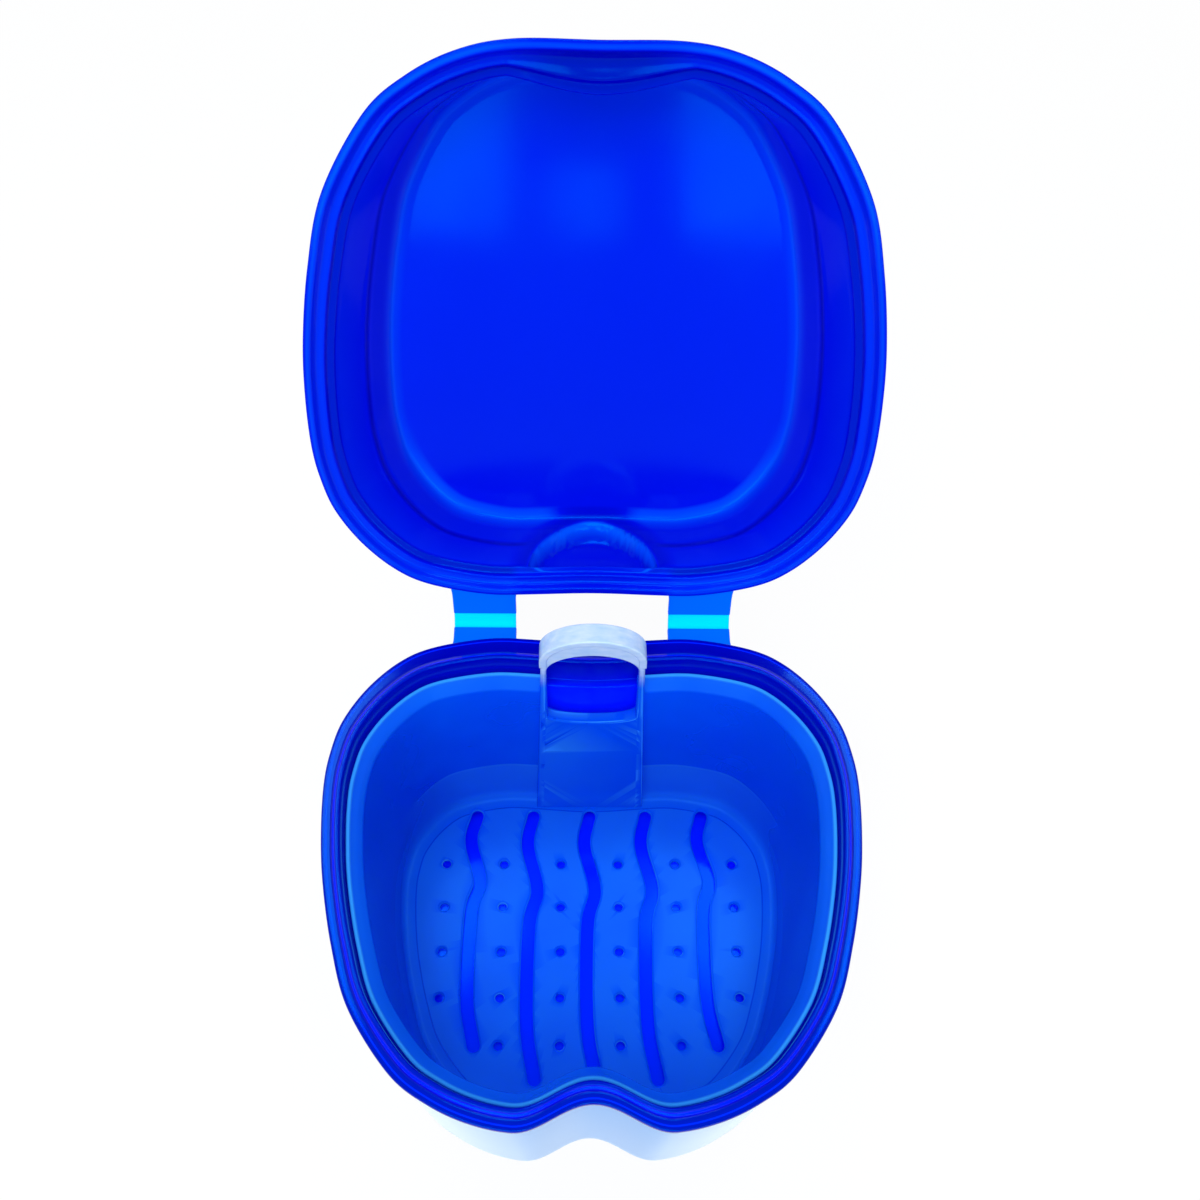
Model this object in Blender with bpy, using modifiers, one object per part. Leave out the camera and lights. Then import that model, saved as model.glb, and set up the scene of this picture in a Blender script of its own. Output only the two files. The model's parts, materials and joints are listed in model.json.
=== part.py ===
"""Denture case: a blue tub and domed lid on two living-hinge straps, an outer jacket and a lift-out basket.

Metres, +Z up, -Y to the front. The origin is at the centre of the flat underside.
"""

import math

import bmesh
import bpy
from mathutils import Matrix, Vector

# Outline of the tub's rim, seen from above: half of it, from the middle of the back to the middle of the front.
# Each pair is a share of the half width and a share of the depth.
RIM_OUTLINE_SHARES = (
    (0.000, 0.000),
    (0.240, 0.000),
    (0.430, 0.003),
    (0.634, 0.026),
    (0.760, 0.062),
    (0.874, 0.125),
    (0.955, 0.200),
    (0.989, 0.272),
    (1.000, 0.342),
    (0.991, 0.440),
    (0.966, 0.542),
    (0.913, 0.666),
    (0.836, 0.783),
    (0.685, 0.897),
    (0.549, 0.951),
    (0.400, 0.985),
    (0.240, 1.000),
    (0.000, 1.000),
)
OUTLINE_POINTS = 72
POINTS_PER_SPAN = 8

# Tub rim
RIM_WIDTH = 0.0940
RIM_DEPTH = 0.0891
NOTCH_DEPTH = 0.0043
NOTCH_HALF_WIDTH = 0.0130
BACK_DIMPLE_DEPTH = 0.0010
BACK_DIMPLE_HALF_WIDTH = 0.0180
FLANGE_THICKNESS = 0.0016
BEAD_HEIGHT = 0.0013
BEAD_INSET = 0.0024
BEAD_BACK_INSET = 0.0019
EDGE_ROUND = 0.0004

# Tub walls and floor
TUB_WALL = 0.0012
TUB_INNER_INSET = 0.0036
TUB_LEDGE_WIDTH = 0.0016
TUB_DRAFT = 0.0010
TUB_BACK_DRAFT = 0.0016
TUB_FLOOR = 0.0015
PLATFORM_HEIGHT = 0.0015
PLATFORM_INSET = 0.0052
TUB_FILLET = 0.0030

# Outer jacket
JACKET_WALL = 0.0014
JACKET_FLOOR = 0.0017
JACKET_TOP_INSET = 0.0006
JACKET_DRAFT = 0.0010
JACKET_FOOT_ROUND = 0.0008

# Basket
BASKET_INSET = 0.0040
BASKET_BACK_INSET = 0.0023
BASKET_DROP = 0.0020
BASKET_LIP = 0.0008
BASKET_RIM_HEIGHT = 0.0023
BAND_SLOPE_WIDTH = 0.0018
BASKET_WALL = 0.0012
BASKET_FLOOR = 0.0012
BASKET_FLOOR_DEPTH = 0.0445
BASKET_SIDE_DRAFT = 0.0012
BASKET_BACK_DRAFT = 0.0030
BASKET_FRONT_DRAFT = 0.0016
BASKET_FILLET = 0.0022
LEDGE_CLEARANCE = 0.0004

# Drain holes and wavy slots in the basket floor
HOLE_DIAMETER = 0.0018
HOLES_FROM_SIDE = 0.01675
FIRST_ROW_FROM_BACK = 0.0279
LAST_ROW_FROM_FRONT = 0.0228
HOLE_COLUMNS = (6, 6, 6, 6, 4)
HOLE_SIDES = 12
SLOT_WIDTH = 0.0026
SLOT_START_FROM_BACK = 0.0168
LONG_SLOTS_FROM_FRONT = 0.0163
SHORT_SLOTS_FROM_FRONT = 0.0228
SLOT_WAVE = 0.0011
SLOT_WAVE_SHARES = ((0.00, 0.0), (0.12, -1.0), (0.30, 1.0), (0.44, -0.4), (0.80, -0.5), (1.00, 1.1))
SLOT_POINTS = 18
SLOT_END_POINTS = 5
CUT_OVERRUN = 0.0010

# Basket handle
HANDLE_TOP_WIDTH = 0.0192
HANDLE_FOOT_WIDTH = 0.0229
HANDLE_CROWN_HEIGHT = 0.0140
HANDLE_SHOULDER_HEIGHT = 0.0070
HANDLE_THICKNESS = 0.0016
HANDLE_PROUD_AT_RIM = 0.0010
HANDLE_PROUD_AT_FLOOR = 0.0018
GRIP_DEPTH = 0.0030
GRIP_BAR = 0.0014
GRIP_PROUD = 0.0003
GRIP_HOLE_WIDTH = 0.0168
GRIP_HOLE_CROWN = 0.0084
GRIP_HOLE_SHOULDER = 0.0038
GRIP_HOLE_SIDE_DROP = 0.0100
GRIP_HOLE_SAG = 0.0020
ARCH_POINTS = 16

# Lid
LID_WIDTH = 0.0938
LID_DEPTH = 0.0870
LID_BACK_DIMPLE_DEPTH = 0.0005
LID_LIP = 0.0016
LID_RIM_HEIGHT = 0.0034
LID_RIM_ROUND = 0.0006
LID_REBATE_DEPTH = 0.0018
LID_INNER_INSET = 0.0041
LID_WALL = 0.0014
LID_INNER_DEPTH = 0.0155
LID_SHOULDER_DEPTH = 0.0090
LID_SHOULDER_SIDE_INSET = 0.0062
LID_CEILING_SIDE_INSET = 0.0086
LID_SHOULDER_END_INSET = 0.0008
LID_CEILING_END_INSET = 0.0014
LID_FILLET = 0.0018
LID_NOTCH_DEPTH = 0.0048
LID_NOTCH_HALF_WIDTH = 0.0150
POCKET_DEPTH = 0.0030
POCKET_HALF_WIDTH = 0.0128
POCKET_FLAT_SHARE = 0.65

# Living hinge
LID_OPEN_ANGLE = math.radians(110.0)
HINGE_BEHIND_RIM = 0.0036
HINGE_ABOVE_RIM = 0.0003
LID_AHEAD_OF_HINGE = 0.0055
STRAP_WIDTH = 0.0117
STRAP_SPACING = 0.0401
LEAF_THICKNESS = 0.0012
WEB_LENGTH = 0.0026
WEB_THICKNESS = 0.0005
WEB_STEPS = 6
LEAF_END_POINTS = 7

CLEARANCE = 0.0003
SHARP_EDGE_ANGLE = math.radians(40.0)
WELD_SHARE = 0.01

# Heights, measured up from the flat underside
JACKET_FLOOR_TOP = JACKET_FLOOR
TUB_UNDERSIDE = JACKET_FLOOR_TOP + CLEARANCE
TUB_FLOOR_TOP = TUB_UNDERSIDE + TUB_FLOOR
PLATFORM_TOP = TUB_FLOOR_TOP + PLATFORM_HEIGHT
BASKET_UNDERSIDE = PLATFORM_TOP + CLEARANCE
BASKET_FLOOR_TOP = BASKET_UNDERSIDE + BASKET_FLOOR
RIM_TOP = BASKET_FLOOR_TOP + BASKET_FLOOR_DEPTH
BASKET_TOP = RIM_TOP - BASKET_DROP
BAND_BOTTOM = BASKET_TOP - BASKET_RIM_HEIGHT
LEDGE_TOP = BAND_BOTTOM - CLEARANCE

RIM_BACK = RIM_DEPTH / 2
HINGE_Y = RIM_BACK + HINGE_BEHIND_RIM
HINGE_Z = RIM_TOP + HINGE_ABOVE_RIM
LID_TILT = math.pi - LID_OPEN_ANGLE

# Spacing of the drain holes and length of the slots, fitted between the margins
HOLE_PITCH_X = (RIM_WIDTH - 2 * HOLES_FROM_SIDE) / (max(HOLE_COLUMNS) - 1)
HOLE_PITCH_Y = (RIM_DEPTH - FIRST_ROW_FROM_BACK - LAST_ROW_FROM_FRONT) / (len(HOLE_COLUMNS) - 1)
LONG_SLOT_LENGTH = RIM_DEPTH - SLOT_START_FROM_BACK - LONG_SLOTS_FROM_FRONT
SHORT_SLOT_LENGTH = RIM_DEPTH - SLOT_START_FROM_BACK - SHORT_SLOTS_FROM_FRONT

# Insets of the basket's outer wall from the rim outline
BODY_INSET = TUB_INNER_INSET + TUB_LEDGE_WIDTH + LEDGE_CLEARANCE
BAND_INSET = BASKET_INSET + BASKET_LIP + BAND_SLOPE_WIDTH


def clear_scene():
    for obj in list(bpy.data.objects):
        bpy.data.objects.remove(obj, do_unlink=True)


def new_collection(name):
    collection = bpy.data.collections.new(name)
    bpy.context.scene.collection.children.link(collection)
    return collection


def new_material(name, color, roughness, alpha=1.0):
    material = bpy.data.materials.new(name)
    material.use_nodes = True
    shader = material.node_tree.nodes["Principled BSDF"]
    shader.inputs["Base Color"].default_value = (*color, 1.0)
    shader.inputs["Roughness"].default_value = roughness
    shader.inputs["Metallic"].default_value = 0.0
    shader.inputs["Alpha"].default_value = alpha
    return material


def catmull_rom(before, start, end, after, share):
    """Point at this share of the way from start to end on a smooth curve through all four."""
    square = share * share
    cube = square * share
    return 0.5 * (
        2 * start
        + (end - before) * share
        + (2 * before - 5 * start + 4 * end - after) * square
        + (3 * start - before - 3 * end + after) * cube
    )


def smooth_closed(points):
    """Dense points of a smooth closed curve through these."""
    count = len(points)
    dense = []
    for index in range(count):
        corners = [points[(index + step) % count] for step in (-1, 0, 1, 2)]
        dense += [catmull_rom(*corners, step / POINTS_PER_SPAN) for step in range(POINTS_PER_SPAN)]
    return dense


def even_spaced(dense, count):
    """This many points at equal distances round a closed curve, from its first point."""
    lengths = [(dense[i] - dense[i - 1]).length for i in range(1, len(dense))]
    lengths.append((dense[0] - dense[-1]).length)
    total = sum(lengths)
    points = []
    index = 0
    passed = 0.0
    for step in range(count):
        target = total * step / count
        while passed + lengths[index] < target:
            passed += lengths[index]
            index += 1
        share = (target - passed) / lengths[index]
        points.append(dense[index].lerp(dense[(index + 1) % len(dense)], share))
    return points


def plain_outline(width, depth):
    """Rim outline without notch or dimple, as (x, distance from its back edge)."""
    right = [Vector((x * width / 2, y * depth)) for x, y in RIM_OUTLINE_SHARES]
    left = [Vector((-point.x, point.y)) for point in reversed(right[1:-1])]
    return even_spaced(smooth_closed(right + left), OUTLINE_POINTS)


def inset_outline(points, inset):
    """The outline moved inwards by the inset, square to itself."""
    moved = []
    count = len(points)
    for index, point in enumerate(points):
        along = (points[(index + 1) % count] - points[index - 1]).normalized()
        moved.append(point + Vector((-along.y, along.x)) * inset)
    return moved


def drawn_in(points, sides, back, front):
    """The outline drawn in by these amounts at its sides, its back and its front."""
    half_width = max(point.x for point in points)
    low = min(point.y for point in points)
    high = max(point.y for point in points)
    across = (half_width - sides) / half_width
    along = (high - low - back - front) / (high - low)
    return [Vector((point.x * across, low + back + (point.y - low) * along)) for point in points]


def bump(x, half_width, flat_share):
    """One over the flat share of the half width, then falling smoothly to zero."""
    flat = half_width * flat_share
    fallen = min(max(abs(x) - flat, 0.0) / (half_width - flat), 1.0)
    return 0.5 + 0.5 * math.cos(math.pi * fallen)


def pushed(points, depth, half_width, end, flat_share=0.0):
    """The outline with a smooth dent in its middle, at its front or its back end."""
    low = min(point.y for point in points)
    high = max(point.y for point in points)
    middle = (low + high) / 2
    sign = -1.0 if end == "front" else 1.0
    return [
        Vector((point.x, point.y + sign * depth * bump(point.x, half_width, flat_share)))
        if (point.y > middle) == (end == "front")
        else point.copy()
        for point in points
    ]


def base_ring(inset, height, sides=0.0, back=0.0, front=0.0):
    """One section of the tub, jacket or basket: the rim outline drawn in, notched and set at a height."""
    outline = drawn_in(inset_outline(plain_outline(RIM_WIDTH, RIM_DEPTH), inset), sides, back, front)
    outline = pushed(outline, NOTCH_DEPTH, NOTCH_HALF_WIDTH, "front")
    outline = pushed(outline, BACK_DIMPLE_DEPTH, BACK_DIMPLE_HALF_WIDTH, "back")
    return [Vector((point.x, RIM_BACK - point.y, height)) for point in outline]


def lid_ring(inset, depth, sides=0.0, ends=0.0, notch=0.0, pocket=0.0):
    """One section of the lid, in the lid's own frame: y away from the hinge axis, z down into the dome."""
    outline = drawn_in(inset_outline(plain_outline(LID_WIDTH, LID_DEPTH), inset), sides, ends, ends)
    outline = pushed(outline, notch, LID_NOTCH_HALF_WIDTH, "front")
    outline = pushed(outline, LID_BACK_DIMPLE_DEPTH, BACK_DIMPLE_HALF_WIDTH, "back")
    if pocket:
        outline = pushed(outline, -pocket, POCKET_HALF_WIDTH, "back", POCKET_FLAT_SHARE)
    return [Vector((point.x, LID_AHEAD_OF_HINGE + point.y, -depth)) for point in outline]


def link_mesh(name, work, collection, material, parent=None):
    """A new object from this bmesh, with its faces turned outwards."""
    bmesh.ops.recalc_face_normals(work, faces=work.faces)
    mesh = bpy.data.meshes.new(name)
    work.to_mesh(mesh)
    work.free()
    mesh.shade_smooth()
    mesh.set_sharp_from_angle(angle=SHARP_EDGE_ANGLE)
    if material:
        mesh.materials.append(material)
    obj = bpy.data.objects.new(name, mesh)
    collection.objects.link(obj)
    if parent:
        obj.parent = parent
    return obj


def loft(name, rings, collection, material, parent=None):
    """A closed skin over the rings, capped at the first and the last."""
    work = bmesh.new()
    rows = [[work.verts.new(point) for point in ring] for ring in rings]
    for lower, upper in zip(rows, rows[1:]):
        for index in range(len(lower)):
            after = (index + 1) % len(lower)
            work.faces.new((lower[index], lower[after], upper[after], upper[index]))
    work.faces.new(list(reversed(rows[0])))
    work.faces.new(rows[-1])
    return link_mesh(name, work, collection, material, parent)


def plate(name, outline, thickness, placing, collection, material=None, parent=None):
    """A flat outline with this thickness, half on each side of its plane, then placed by a matrix."""
    curve = bpy.data.curves.new(name + "_outline", "CURVE")
    curve.dimensions = "2D"
    curve.fill_mode = "BOTH"
    curve.extrude = thickness / 2
    spline = curve.splines.new("POLY")
    spline.points.add(len(outline) - 1)
    for point, (x, y) in zip(spline.points, outline):
        point.co = (x, y, 0.0, 1.0)
    spline.use_cyclic_u = True
    guide = bpy.data.objects.new(name + "_outline", curve)
    collection.objects.link(guide)
    bpy.context.view_layer.update()
    mesh = bpy.data.meshes.new_from_object(guide.evaluated_get(bpy.context.evaluated_depsgraph_get()))
    bpy.data.objects.remove(guide, do_unlink=True)
    work = bmesh.new()
    work.from_mesh(mesh)
    bpy.data.meshes.remove(mesh)
    bmesh.ops.remove_doubles(work, verts=work.verts, dist=CLEARANCE * WELD_SHARE)
    bmesh.ops.transform(work, matrix=placing, verts=work.verts)
    return link_mesh(name, work, collection, material, parent)


def combine(target, tool, operation):
    """Joins the tool to the target, or cuts it out of it, with a Boolean modifier."""
    modifier = target.modifiers.new(tool.name, "BOOLEAN")
    modifier.operation = operation
    modifier.solver = "EXACT"
    modifier.object = tool
    tool.hide_render = True
    tool.display_type = "WIRE"


def make_jacket(collection, material):
    """The pale outer wall: a plain cup that stops just under the tub's flange."""
    top = RIM_TOP - FLANGE_THICKNESS - CLEARANCE
    foot = JACKET_TOP_INSET + JACKET_DRAFT
    rings = [
        base_ring(foot + JACKET_FOOT_ROUND, 0.0),
        base_ring(foot, JACKET_FOOT_ROUND),
        base_ring(JACKET_TOP_INSET, top),
        base_ring(JACKET_TOP_INSET + JACKET_WALL, top),
        base_ring(foot + JACKET_WALL, JACKET_FLOOR_TOP + JACKET_FOOT_ROUND),
        base_ring(foot + JACKET_WALL + JACKET_FOOT_ROUND, JACKET_FLOOR_TOP),
    ]
    return loft("outer_jacket", rings, collection, material)


def make_tub(collection, material):
    """Rim flange with its raised bead, the ledge that carries the basket, walls and a stepped floor."""
    flange_bottom = RIM_TOP - FLANGE_THICKNESS
    upper_outer = TUB_INNER_INSET - TUB_WALL
    ledge = TUB_INNER_INSET + TUB_LEDGE_WIDTH
    back = BEAD_BACK_INSET
    low_back = back + TUB_BACK_DRAFT
    bead_top = RIM_TOP + BEAD_HEIGHT
    rings = [
        base_ring(ledge + TUB_FILLET - TUB_WALL, TUB_UNDERSIDE, TUB_DRAFT, low_back, TUB_DRAFT),
        base_ring(ledge - TUB_WALL, TUB_UNDERSIDE + TUB_FILLET, TUB_DRAFT, low_back, TUB_DRAFT),
        base_ring(ledge - TUB_WALL, LEDGE_TOP - TUB_LEDGE_WIDTH, back=back),
        base_ring(upper_outer, LEDGE_TOP, back=back / 2),
        base_ring(upper_outer, flange_bottom),
        base_ring(EDGE_ROUND, flange_bottom),
        base_ring(0.0, flange_bottom + EDGE_ROUND),
        base_ring(0.0, RIM_TOP - EDGE_ROUND),
        base_ring(EDGE_ROUND, RIM_TOP),
        base_ring(BEAD_INSET, RIM_TOP, back=back),
        base_ring(BEAD_INSET, bead_top - EDGE_ROUND, back=back),
        base_ring(BEAD_INSET + EDGE_ROUND, bead_top, back=back),
        base_ring(TUB_INNER_INSET - EDGE_ROUND, bead_top, back=back),
        base_ring(TUB_INNER_INSET, bead_top - EDGE_ROUND, back=back),
        base_ring(TUB_INNER_INSET, LEDGE_TOP, back=back),
        base_ring(ledge, LEDGE_TOP, back=back),
        base_ring(ledge, TUB_FLOOR_TOP + TUB_FILLET, TUB_DRAFT, low_back, TUB_DRAFT),
        base_ring(ledge + TUB_FILLET, TUB_FLOOR_TOP, TUB_DRAFT, low_back, TUB_DRAFT),
        base_ring(ledge + PLATFORM_INSET, TUB_FLOOR_TOP, TUB_DRAFT, low_back, TUB_DRAFT),
        base_ring(ledge + PLATFORM_INSET + EDGE_ROUND, PLATFORM_TOP, TUB_DRAFT, low_back, TUB_DRAFT),
    ]
    return loft("tub", rings, collection, material)


def slot_path(length):
    """Middle line of a wavy drain slot, as (x, distance from its back end)."""
    knots = [Vector((wave * SLOT_WAVE, share * length)) for share, wave in SLOT_WAVE_SHARES]
    knots = [2 * knots[0] - knots[1], *knots, 2 * knots[-1] - knots[-2]]
    spans = len(knots) - 3
    points = []
    for step in range(SLOT_POINTS):
        place = step / (SLOT_POINTS - 1) * spans
        span = min(int(place), spans - 1)
        points.append(catmull_rom(*knots[span : span + 4], place - span))
    return points


def slot_outline(length):
    """Outline of a slot of even width with round ends, along its wavy middle line."""
    path = slot_path(length)
    half = SLOT_WIDTH / 2
    tangents = [(path[min(i + 1, len(path) - 1)] - path[max(i - 1, 0)]).normalized() for i in range(len(path))]
    right = [point + Vector((t.y, -t.x)) * half for point, t in zip(path, tangents)]
    left = [point - Vector((t.y, -t.x)) * half for point, t in zip(path, tangents)]
    outline = list(right)
    for place, away, start in ((path[-1], tangents[-1], right[-1]), (path[0], -tangents[0], left[0])):
        if start is left[0]:
            outline += list(reversed(left))
        spoke = start - place
        for step in range(1, SLOT_END_POINTS):
            angle = math.pi * step / SLOT_END_POINTS
            outline.append(place + spoke * math.cos(angle) + away * half * math.sin(angle))
    return outline


def make_drain_cutters(collection):
    """All the round holes and wavy slots, as separate bars through the floor."""
    cut_depth = BASKET_FLOOR + 2 * CUT_OVERRUN
    middle = BASKET_UNDERSIDE + BASKET_FLOOR / 2
    work = bmesh.new()
    for row, columns in enumerate(HOLE_COLUMNS):
        for column in range(columns):
            x = (column - (columns - 1) / 2) * HOLE_PITCH_X
            y = RIM_BACK - FIRST_ROW_FROM_BACK - row * HOLE_PITCH_Y
            bmesh.ops.create_cone(
                work,
                cap_ends=True,
                segments=HOLE_SIDES,
                radius1=HOLE_DIAMETER / 2,
                radius2=HOLE_DIAMETER / 2,
                depth=cut_depth,
                matrix=Matrix.Translation((x, y, middle)),
            )
    holes = link_mesh("drain_hole_cutters", work, collection, None)
    slots = []
    for column in range(-2, 3):
        length = LONG_SLOT_LENGTH if abs(column) < 2 else SHORT_SLOT_LENGTH
        outline = [(x, -y) for x, y in slot_outline(length)]
        place = Vector((column * HOLE_PITCH_X, RIM_BACK - SLOT_START_FROM_BACK, middle))
        name = f"drain_slot_cutter_{column + 3}"
        slots.append(plate(name, outline, cut_depth, Matrix.Translation(place), collection))
    return [holes, *slots]


def basket_back(height):
    """Distance of the basket's inner back wall from the rim's back edge, at this height."""
    share = (BAND_BOTTOM - height) / (BAND_BOTTOM - BASKET_FLOOR_TOP)
    return BAND_INSET + BASKET_BACK_INSET + BACK_DIMPLE_DEPTH + BASKET_BACK_DRAFT * share


def make_basket_shell(collection, material):
    """Thin walls under a sloped rim band, down to the drain floor."""
    back = BASKET_BACK_INSET
    low = (BASKET_SIDE_DRAFT, back + BASKET_BACK_DRAFT, BASKET_FRONT_DRAFT)
    inner = BAND_INSET
    outer = inner - BASKET_WALL
    rings = [
        base_ring(outer + BASKET_FILLET, BASKET_UNDERSIDE, *low),
        base_ring(outer, BASKET_UNDERSIDE + BASKET_FILLET, *low),
        base_ring(BODY_INSET, BAND_BOTTOM, back=back),
        base_ring(BASKET_INSET, BAND_BOTTOM, back=back),
        base_ring(BASKET_INSET, BASKET_TOP, back=back),
        base_ring(BASKET_INSET + BASKET_LIP, BASKET_TOP, back=back),
        base_ring(inner, BAND_BOTTOM, back=back),
        base_ring(inner, BASKET_FLOOR_TOP + BASKET_FILLET, *low),
        base_ring(inner + BASKET_FILLET, BASKET_FLOOR_TOP, *low),
    ]
    return loft("basket", rings, collection, material)


def arch(half_width, shoulder, crown):
    """Points over a half-ellipse from its right shoulder to its left one."""
    rise = crown - shoulder
    angles = [math.pi * step / ARCH_POINTS for step in range(ARCH_POINTS + 1)]
    return [(half_width * math.cos(a), shoulder + rise * math.sin(a)) for a in angles]


def make_handle(collection):
    """Strap that rises from the floor up the back wall to an arched grip, and the hole under the grip."""
    floor = -BASKET_FLOOR_DEPTH
    strap_back = basket_back(BAND_BOTTOM) + HANDLE_PROUD_AT_RIM
    strap_low = basket_back(BASKET_FLOOR_TOP) + HANDLE_PROUD_AT_FLOOR
    run = strap_low - strap_back
    rise = BAND_BOTTOM - BASKET_FLOOR_TOP
    lean = math.atan2(run, rise)
    front_at_rim = RIM_BACK - strap_back - run / rise * (BAND_BOTTOM - RIM_TOP)
    upright = Matrix.Rotation(math.pi / 2, 4, "X")
    placing = Matrix.Translation((0.0, front_at_rim, RIM_TOP)) @ Matrix.Rotation(-lean, 4, "X") @ upright

    def slab(name, outline, thickness, proud=0.0):
        # The outline's plane is the strap's front face, so the slab is moved back by half its thickness.
        backwards = Matrix.Translation((0.0, 0.0, proud - thickness / 2))
        return plate(name, outline, thickness, placing @ backwards, collection)

    top = HANDLE_TOP_WIDTH / 2
    foot = HANDLE_FOOT_WIDTH / 2
    outline = [(-foot, floor - BASKET_FLOOR / 2), (foot, floor - BASKET_FLOOR / 2)]
    outline += arch(top - GRIP_PROUD, HANDLE_SHOULDER_HEIGHT, HANDLE_CROWN_HEIGHT - GRIP_PROUD)
    strap = slab("handle_strap", outline, HANDLE_THICKNESS + HANDLE_PROUD_AT_RIM)

    # The grip is a bar over the strap's arch, a little proud of it, with a short leg down each side.
    leg_end = HANDLE_SHOULDER_HEIGHT - GRIP_BAR
    outer = arch(top, HANDLE_SHOULDER_HEIGHT, HANDLE_CROWN_HEIGHT)
    inner = arch(top - GRIP_BAR, HANDLE_SHOULDER_HEIGHT, HANDLE_CROWN_HEIGHT - GRIP_BAR)
    bar = [(top, leg_end), *outer, (-top, leg_end)]
    bar += [(GRIP_BAR - top, leg_end), *reversed(inner), (top - GRIP_BAR, leg_end)]
    grip = slab("handle_grip", bar, GRIP_DEPTH, GRIP_PROUD)

    half = GRIP_HOLE_WIDTH / 2
    hole = arch(half, GRIP_HOLE_SHOULDER, GRIP_HOLE_CROWN)
    hole += [(x, -GRIP_HOLE_SIDE_DROP - sag) for x, sag in reversed(arch(half, 0.0, GRIP_HOLE_SAG))]
    reach = GRIP_DEPTH + BASKET_BACK_DRAFT + BASKET_INSET
    cutter = plate("grip_hole_cutter", hole, 2 * reach, placing, collection)
    return strap, grip, cutter


def make_basket(collection, cutters, material, parent):
    basket = make_basket_shell(collection, material)
    strap, grip, hole = make_handle(cutters)
    combine(basket, strap, "UNION")
    combine(basket, grip, "UNION")
    combine(basket, hole, "DIFFERENCE")
    for cutter in make_drain_cutters(cutters):
        combine(basket, cutter, "DIFFERENCE")
    place_on(basket, parent)
    return basket


def place_on(obj, parent):
    """Parents the object without moving it."""
    bpy.context.view_layer.update()
    obj.parent = parent
    obj.matrix_parent_inverse = parent.matrix_world.inverted()


def make_lid(collection, material, parent):
    """Rim lip and rebate that close over the tub's bead, sloped shoulders and a flat-topped dome."""
    notch = LID_NOTCH_DEPTH
    shoulder = LID_SHOULDER_SIDE_INSET
    ceiling = LID_CEILING_SIDE_INSET
    shoulder_ends = LID_SHOULDER_END_INSET
    ceiling_ends = LID_CEILING_END_INSET
    deep = LID_INNER_DEPTH - LID_FILLET
    inner = LID_INNER_INSET
    outer = inner - LID_WALL
    pocket = POCKET_DEPTH
    top = LID_INNER_DEPTH + LID_WALL
    rings = [
        lid_ring(outer + LID_FILLET, top, ceiling, ceiling_ends, notch, pocket),
        lid_ring(outer, deep + LID_WALL / 2, ceiling, ceiling_ends, notch, pocket),
        lid_ring(outer, LID_SHOULDER_DEPTH, shoulder, shoulder_ends, notch, pocket),
        lid_ring(outer, LID_RIM_HEIGHT, notch=notch),
        lid_ring(LID_RIM_ROUND, LID_RIM_HEIGHT),
        lid_ring(0.0, LID_RIM_HEIGHT - LID_RIM_ROUND),
        lid_ring(0.0, 0.0),
        lid_ring(LID_LIP, 0.0),
        lid_ring(LID_LIP, LID_REBATE_DEPTH),
        lid_ring(inner, LID_REBATE_DEPTH, notch=notch),
        lid_ring(inner, LID_SHOULDER_DEPTH, shoulder, shoulder_ends, notch, pocket),
        lid_ring(inner, deep, ceiling, ceiling_ends, notch, pocket),
        lid_ring(inner + LID_FILLET, LID_INNER_DEPTH, ceiling, ceiling_ends, notch, pocket),
    ]
    return loft("lid", rings, collection, material, parent)


def leaf_outline(middle, edge, web_side):
    """Outline of a hinge leaf from the web to the curved edge it is moulded to."""
    half = STRAP_WIDTH / 2
    xs = [middle - half + STRAP_WIDTH * step / (LEAF_END_POINTS - 1) for step in range(LEAF_END_POINTS)]
    far = [(x, edge(x)) for x in xs]
    return [(xs[-1], web_side), (xs[0], web_side), *far]


def edge_of(ring):
    """The y of a ring's hinge side at a given x, read between its points."""
    middle_y = sum(point.y for point in ring) / len(ring)
    ahead = ring[0].y > middle_y
    points = sorted((point for point in ring if (point.y > middle_y) == ahead), key=lambda point: point.x)

    def at(x):
        for left, right in zip(points, points[1:]):
            if left.x <= x <= right.x:
                return left.y + (right.y - left.y) * (x - left.x) / (right.x - left.x)
        return points[-1].y

    return at


def make_hinge(collection, tub_material, web_material, lid_parent):
    """Two straps, each a leaf on the tub, a thin web over the axis and a leaf on the lid."""
    tub_edge = edge_of(base_ring(0.0, RIM_TOP))
    lid_edge = edge_of(lid_ring(0.0, 0.0))
    web_end = WEB_LENGTH / 2 + CLEARANCE
    for side, middle in (("left", -STRAP_SPACING / 2), ("right", STRAP_SPACING / 2)):
        outline = leaf_outline(middle, lambda x: tub_edge(x) + CLEARANCE, HINGE_Y - web_end)
        lift = Matrix.Translation((0.0, 0.0, RIM_TOP - LEAF_THICKNESS / 2))
        plate(f"tub_hinge_leaf_{side}", outline, LEAF_THICKNESS, lift, collection, tub_material)
        outline = leaf_outline(middle, lambda x: lid_edge(x) - CLEARANCE, web_end)
        drop = Matrix.Translation((0.0, 0.0, -LEAF_THICKNESS / 2))
        plate(f"lid_hinge_leaf_{side}", outline, LEAF_THICKNESS, drop, collection, tub_material, lid_parent)
        make_web(f"hinge_web_{side}", middle, collection, web_material)


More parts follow.
